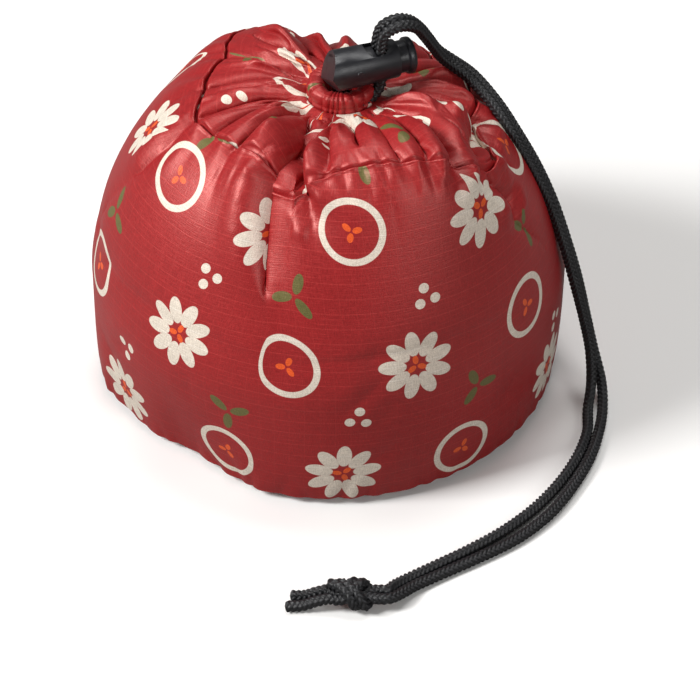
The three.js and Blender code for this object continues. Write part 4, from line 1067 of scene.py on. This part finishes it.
REAR_WAY = [
    (0.0094, 0.0051, 0.1075), (0.0117, 0.0032, 0.108), (0.0134, 0.0016, 0.1096),
    (0.0145, 0.0006, 0.1118), (0.0149, 0.0003, 0.1145), (0.0149, 0.0003, 0.1191),
    (0.0149, 0.0003, 0.126),
    (0.0164, 0.0007, 0.1308), (0.0206, 0.0012, 0.1332), (0.0246, 0.0036, 0.1314), (0.028, 0.007, 0.1264),
    (0.031, 0.0102, 0.12), (0.034, 0.0132, 0.1136), (0.0386, 0.0148, 0.1088), (0.0452, 0.0123, 0.105),
    (0.053, 0.0042, 0.0998), (0.0594, -0.0024, 0.0926), (0.0654, -0.0064, 0.0832), (0.0706, -0.0096, 0.0724),
    (0.0752, -0.013, 0.0598), (0.0794, -0.015, 0.0458), (0.0828, -0.0156, 0.0308), (0.086, -0.0168, 0.0168),
    (0.0892, -0.0222, 0.0054), (0.0892, -0.0316, 0.0019), (0.0872, -0.0426, 0.0018),
    (0.0836, -0.0548, 0.0018), (0.0776, -0.0676, 0.0018), (0.0696, -0.0804, 0.0018),
    (0.0588, -0.0916, 0.0018), (0.0462, -0.1002, 0.0018), (0.034, -0.1076, 0.0018),
    (0.0262, -0.1128, 0.0022), (0.0214, -0.1178, 0.0036), (0.0181, -0.1206, 0.0047),
    (0.0151, -0.1206, 0.0047), (0.0121, -0.1204, 0.0047),
]


def along_curve(points, step):
    """Evenly spaced places, step mm apart, on the smooth curve through points given in metres."""
    nodes = np.array(points, float) / MM
    nodes = np.concatenate([[2 * nodes[0] - nodes[1]], nodes, [2 * nodes[-1] - nodes[-2]]])
    fine = []
    for p0, p1, p2, p3 in zip(nodes, nodes[1:], nodes[2:], nodes[3:]):
        t0 = 0
        t1, t2, t3 = np.cumsum([np.linalg.norm(b - a)**0.5 for a, b in ((p0, p1), (p1, p2), (p2, p3))])
        t = np.linspace(t1, t2, 40, endpoint=False)[:, None]
        a1 = (t1 - t) / (t1 - t0) * p0 + (t - t0) / (t1 - t0) * p1
        a2 = (t2 - t) / (t2 - t1) * p1 + (t - t1) / (t2 - t1) * p2
        a3 = (t3 - t) / (t3 - t2) * p2 + (t - t2) / (t3 - t2) * p3
        b1 = (t2 - t) / (t2 - t0) * a1 + (t - t0) / (t2 - t0) * a2
        b2 = (t3 - t) / (t3 - t1) * a2 + (t - t1) / (t3 - t1) * a3
        fine.append((t2 - t) / (t2 - t1) * b1 + (t - t1) / (t2 - t1) * b2)
    fine = np.concatenate([*fine, nodes[-2:-1]])
    arc = np.concatenate([[0], np.cumsum(np.linalg.norm(np.diff(fine, axis=0), axis=1))])
    spaced = np.linspace(0, arc[-1], max(int(arc[-1] / step), 2) + 1)
    return np.stack([np.interp(spaced, arc, fine[:, k]) for k in range(3)], -1), arc[-1]


def sides_of(line):
    """Two directions square to the line at each of its places, carried along without a twist."""
    ahead = np.gradient(line, axis=0)
    ahead /= np.linalg.norm(ahead, axis=1, keepdims=True)
    side = np.cross(ahead[0], (0, 0, 1) if abs(ahead[0][2]) < 0.9 else (1, 0, 0))
    sides = []
    for direction in ahead:
        side = side - direction * (side @ direction)
        side = side / np.linalg.norm(side)
        sides.append(side)
    sides = np.array(sides)
    return sides, np.cross(ahead, sides)


def braid_height(around_yarns, along_yarns):
    """Height of a braid's skin, from 0 between the yarns to 1. Each yarn goes over two and under two."""
    a, b = around_yarns + along_yarns, around_yarns - along_yarns
    whole_a, whole_b = np.floor(a), np.floor(b)
    turn = (whole_a + whole_b) % 4
    first = turn < 2
    across = np.where(first, a - whole_a, b - whole_b)
    run = np.where(first, turn + b - whole_b, turn - 2 + a - whole_a) / 2
    return np.sqrt(np.clip(1 - (2 * across - 1)**2, 0, 1)) * (0.5 + 0.5 * np.sin(np.pi * np.clip(run, 0, 1)))


def braided_polyester():
    """Black braided polyester: matt filaments that lie along each yarn and catch small lights, with painted
    shade, near black, in the gaps between the yarns.
    """
    finish, shader = new_finish("braided_polyester")
    uv = add(finish, "UVMap", {}, uv_map="flat_cloth")
    flat = add(finish, "VectorMath", {0: uv, "Scale": 1000.0}, operation="SCALE")
    hairs = add(finish, "TexNoise", {"Vector": flat, "Scale": 4.5, "Detail": 4.0})
    # the two ways that yarns run, and which of them is on top
    parts = add(finish, "SeparateXYZ", {0: flat}, output=None)
    turn = add(finish, "Math", {0: parts.outputs["X"], 1: YARN_COLUMNS / (math.pi * CORD_DIAMETER)},
               operation="MULTIPLY")
    run = add(finish, "Math", {0: parts.outputs["Y"], 1: YARN_PITCH}, operation="DIVIDE")
    whole, across = [], []
    for operation in ("ADD", "SUBTRACT"):
        way = add(finish, "Math", {0: turn, 1: run}, operation=operation)
        whole.append(add(finish, "Math", {0: way}, operation="FLOOR"))
        across.append(add(finish, "Math", {0: way}, operation="FRACT"))
    count = add(finish, "Math", {0: whole[0], 1: whole[1]}, operation="ADD")
    step = add(finish, "Math", {0: count, 1: 4.0}, operation="FLOORED_MODULO")
    second = add(finish, "Math", {0: step, 1: 1.5}, operation="GREATER_THAN")
    top = add(finish, "Mix", {0: second, 2: across[0], 3: across[1]}, data_type="FLOAT")
    side = add(finish, "Math", {0: top, 1: 0.5}, operation="SUBTRACT")
    edge = add(finish, "Math", {0: side}, operation="ABSOLUTE")
    # painted shade: the gaps between the yarns are coloured near black (010101), where shade would fall in
    # the braid
    painted_gap_shade = add(finish, "MapRange", {"Value": edge, "From Min": 0.24, "From Max": 0.46})
    yarn = add(finish, "Mix", {0: hairs, 6: paint("08080A"), 7: paint("222226")}, data_type="RGBA", output=2)
    colour = add(finish, "Mix", {0: painted_gap_shade, 6: yarn, 7: paint("010101")}, data_type="RGBA", output=2)
    rough = add(finish, "MapRange", {"Value": hairs, "From Min": 0.3, "From Max": 0.7, "To Min": 0.38,
                                     "To Max": 0.62})
    bump = add(finish, "Bump", {"Height": hairs, "Strength": 0.6, "Distance": 0.1 * MM})
    connect(finish, shader, {"Base Color": colour, "Roughness": rough, "Normal": bump})
    return finish


cord_finish = braided_polyester()


def braided(name, ways, ends_closed=(False, False)):
    """One piece of braided cord that follows one or more ways, each a list of places in metres."""
    pieces = []
    for way in ways:
        line, long = along_curve(way, CORD_STEP)
        first, second = sides_of(line)
        from_start = np.linspace(0, long, len(line))
        close = np.ones(len(line))
        for shut, distance in zip(ends_closed, (from_start, long - from_start)):
            if shut:
                tip = np.clip(distance / (0.8 * CORD_CORE), 0, 1)
                close = np.minimum(close, np.sqrt(np.clip(1 - (1 - tip)**2, 0, 1)))

        def place_at(across, up):
            turn, row = np.meshgrid(across, np.arange(len(line)), indexing="xy")
            height = braid_height(YARN_COLUMNS * turn, from_start[row] / YARN_PITCH)
            radius = (CORD_CORE + (CORD_DIAMETER / 2 + YARN_BULGE - CORD_CORE) * height) * close[row]
            angle = 2 * math.pi * turn
            places = (line[row] + first[row] * (radius * np.cos(angle))[..., None]
                      + second[row] * (radius * np.sin(angle))[..., None])
            cut = np.stack([turn * math.pi * CORD_DIAMETER, from_start[row]], -1)
            return places, cut

        pieces.append(wrapped(name if not pieces else f"{name}_{len(pieces)}", CORD_AROUND, len(line) - 1,
                              place_at, cord_finish, "bag"))
    if len(pieces) > 1:
        joined(pieces)
    return pieces[0], line * MM, long * MM


front_cord, front_path, front_length = braided("cord_front", [FRONT_WAY])
rear_cord, rear_path, rear_length = braided("cord_rear", [REAR_WAY])
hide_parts("cord_loop_front", "cord_strand_front", "casing_cord")
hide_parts("cord_loop_rear", "cord_strand_rear")

# Knot
# Both ends go through one overhand knot, pulled tight, and their tails lie on the floor. Each turn is
# a place seen from the knot's middle, in mm, from the cord's side to the tails.
KNOT_CENTRE = np.array([7.8, -118.8, 4.7])
KNOT_TURN = [
    (7.6, 0, 0), (5.4, 0, 0.1), (2.2, 0.2, 0.2), (-1.6, 0.9, -0.1), (-4.4, 2.3, 0.6), (-5.4, 2.2, 2.2),
    (-4.2, 0.9, 3.3), (-1.6, -1.3, 3.1), (0.6, -3.2, 1.1), (1.9, -3.1, -1.6), (2.8, -0.6, -2.5),
    (3.0, 2.4, -1.95), (2.2, 3.3, 0.8), (0.6, 1.6, 3.1), (-1.4, -1.0, 2.6), (-3.4, -1.6, 0.6),
    (-5.6, -1.0, 0), (-7.6, 0, 0),
]
KNOT_SPREAD = 1.85
KNOT_LEAN = 1.5
TAIL_LENGTHS = (13.5, 12.0)
TAIL_HEIGHT = 1.8


def knotted(side):
    """One strand's way through the knot, beside the other strand, and out to its tail."""
    points = []
    last = len(KNOT_TURN) - 1
    for i, (x, y, z) in enumerate(KNOT_TURN):
        core = abs(2 * i / last - 1)**3
        beside = side * (1 - core)
        crossed = 1 - 2 * (i > last / 2)
        points.append(KNOT_CENTRE + (x + KNOT_LEAN * beside, y + side * KNOT_SPREAD * core * crossed, z))
    length = TAIL_LENGTHS[0 if side > 0 else 1]
    out = points[-1]
    for share, fall in ((0.3, 0.35), (0.6, 0.9), (1, 1)):
        points.append(np.array([out[0] - share * length, out[1] - 0.4 * side * share,
                                out[2] + fall * (TAIL_HEIGHT - out[2])]))
    return [tuple(p * MM) for p in points]


knot, _, _ = braided("cord_knot_and_tails", [knotted(1), knotted(-1)], (False, True))
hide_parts("cord_knot", "cord_tail_front", "cord_tail_rear")

# Floor and light
# A plain sheet of matt white studio paper under the bag, and three large soft lamps.
PAPER_WHITE = "F4F3F1"
PAPER_SHADE = "EDECEA"
PAPER_BOUNCE = "8E8C8A"

floor_finish, floor_shader = new_finish("studio_paper")
grain = add(floor_finish, "TexNoise", {"Scale": 60.0, "Detail": 2.0})
tone = add(floor_finish, "MapRange", {"Value": grain, "To Min": 0.985, "To Max": 1.0})
paper = add(floor_finish, "Mix", {0: tone, 6: paint(PAPER_SHADE), 7: paint(PAPER_WHITE)},
            data_type="RGBA", output=2)
# the paper looks white, but throws little light back up on the bag
seen = add(floor_finish, "LightPath", {}, output="Is Camera Ray")
paper = add(floor_finish, "Mix", {0: seen, 6: paint(PAPER_BOUNCE), 7: paper}, data_type="RGBA", output=2)
connect(floor_finish, floor_shader, {"Base Color": paper, "Roughness": 0.9})

bm = bmesh.new()
bmesh.ops.create_grid(bm, x_segments=1, y_segments=1, size=3)
floor = made("floor", bm)
floor.data.materials.append(floor_finish)
floor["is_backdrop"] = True


def lamp(name, place, size, power):
    data = bpy.data.lights.new(name, "AREA")
    data.size = size
    data.energy = power
    light = bpy.data.objects.new(name, data)
    light.location = place
    light.rotation_euler = (Vector(place) - Vector((0, 0, 0.05))).to_track_quat("Z", "Y").to_euler()
    bpy.context.scene.collection.objects.link(light)


lamp("key", (-0.95, -0.35, 0.9), 0.38, 20)
lamp("fill", (0.85, -1.1, 0.75), 0.6, 7)
lamp("top", (0.1, 0.4, 1.3), 0.6, 8)

world = bpy.data.worlds.new("studio")
bpy.context.scene.world = world
world.use_nodes = True
world.node_tree.nodes["Background"].inputs["Color"].default_value = paint(PAPER_WHITE)
world.node_tree.nodes["Background"].inputs["Strength"].default_value = 0.17

low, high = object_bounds()
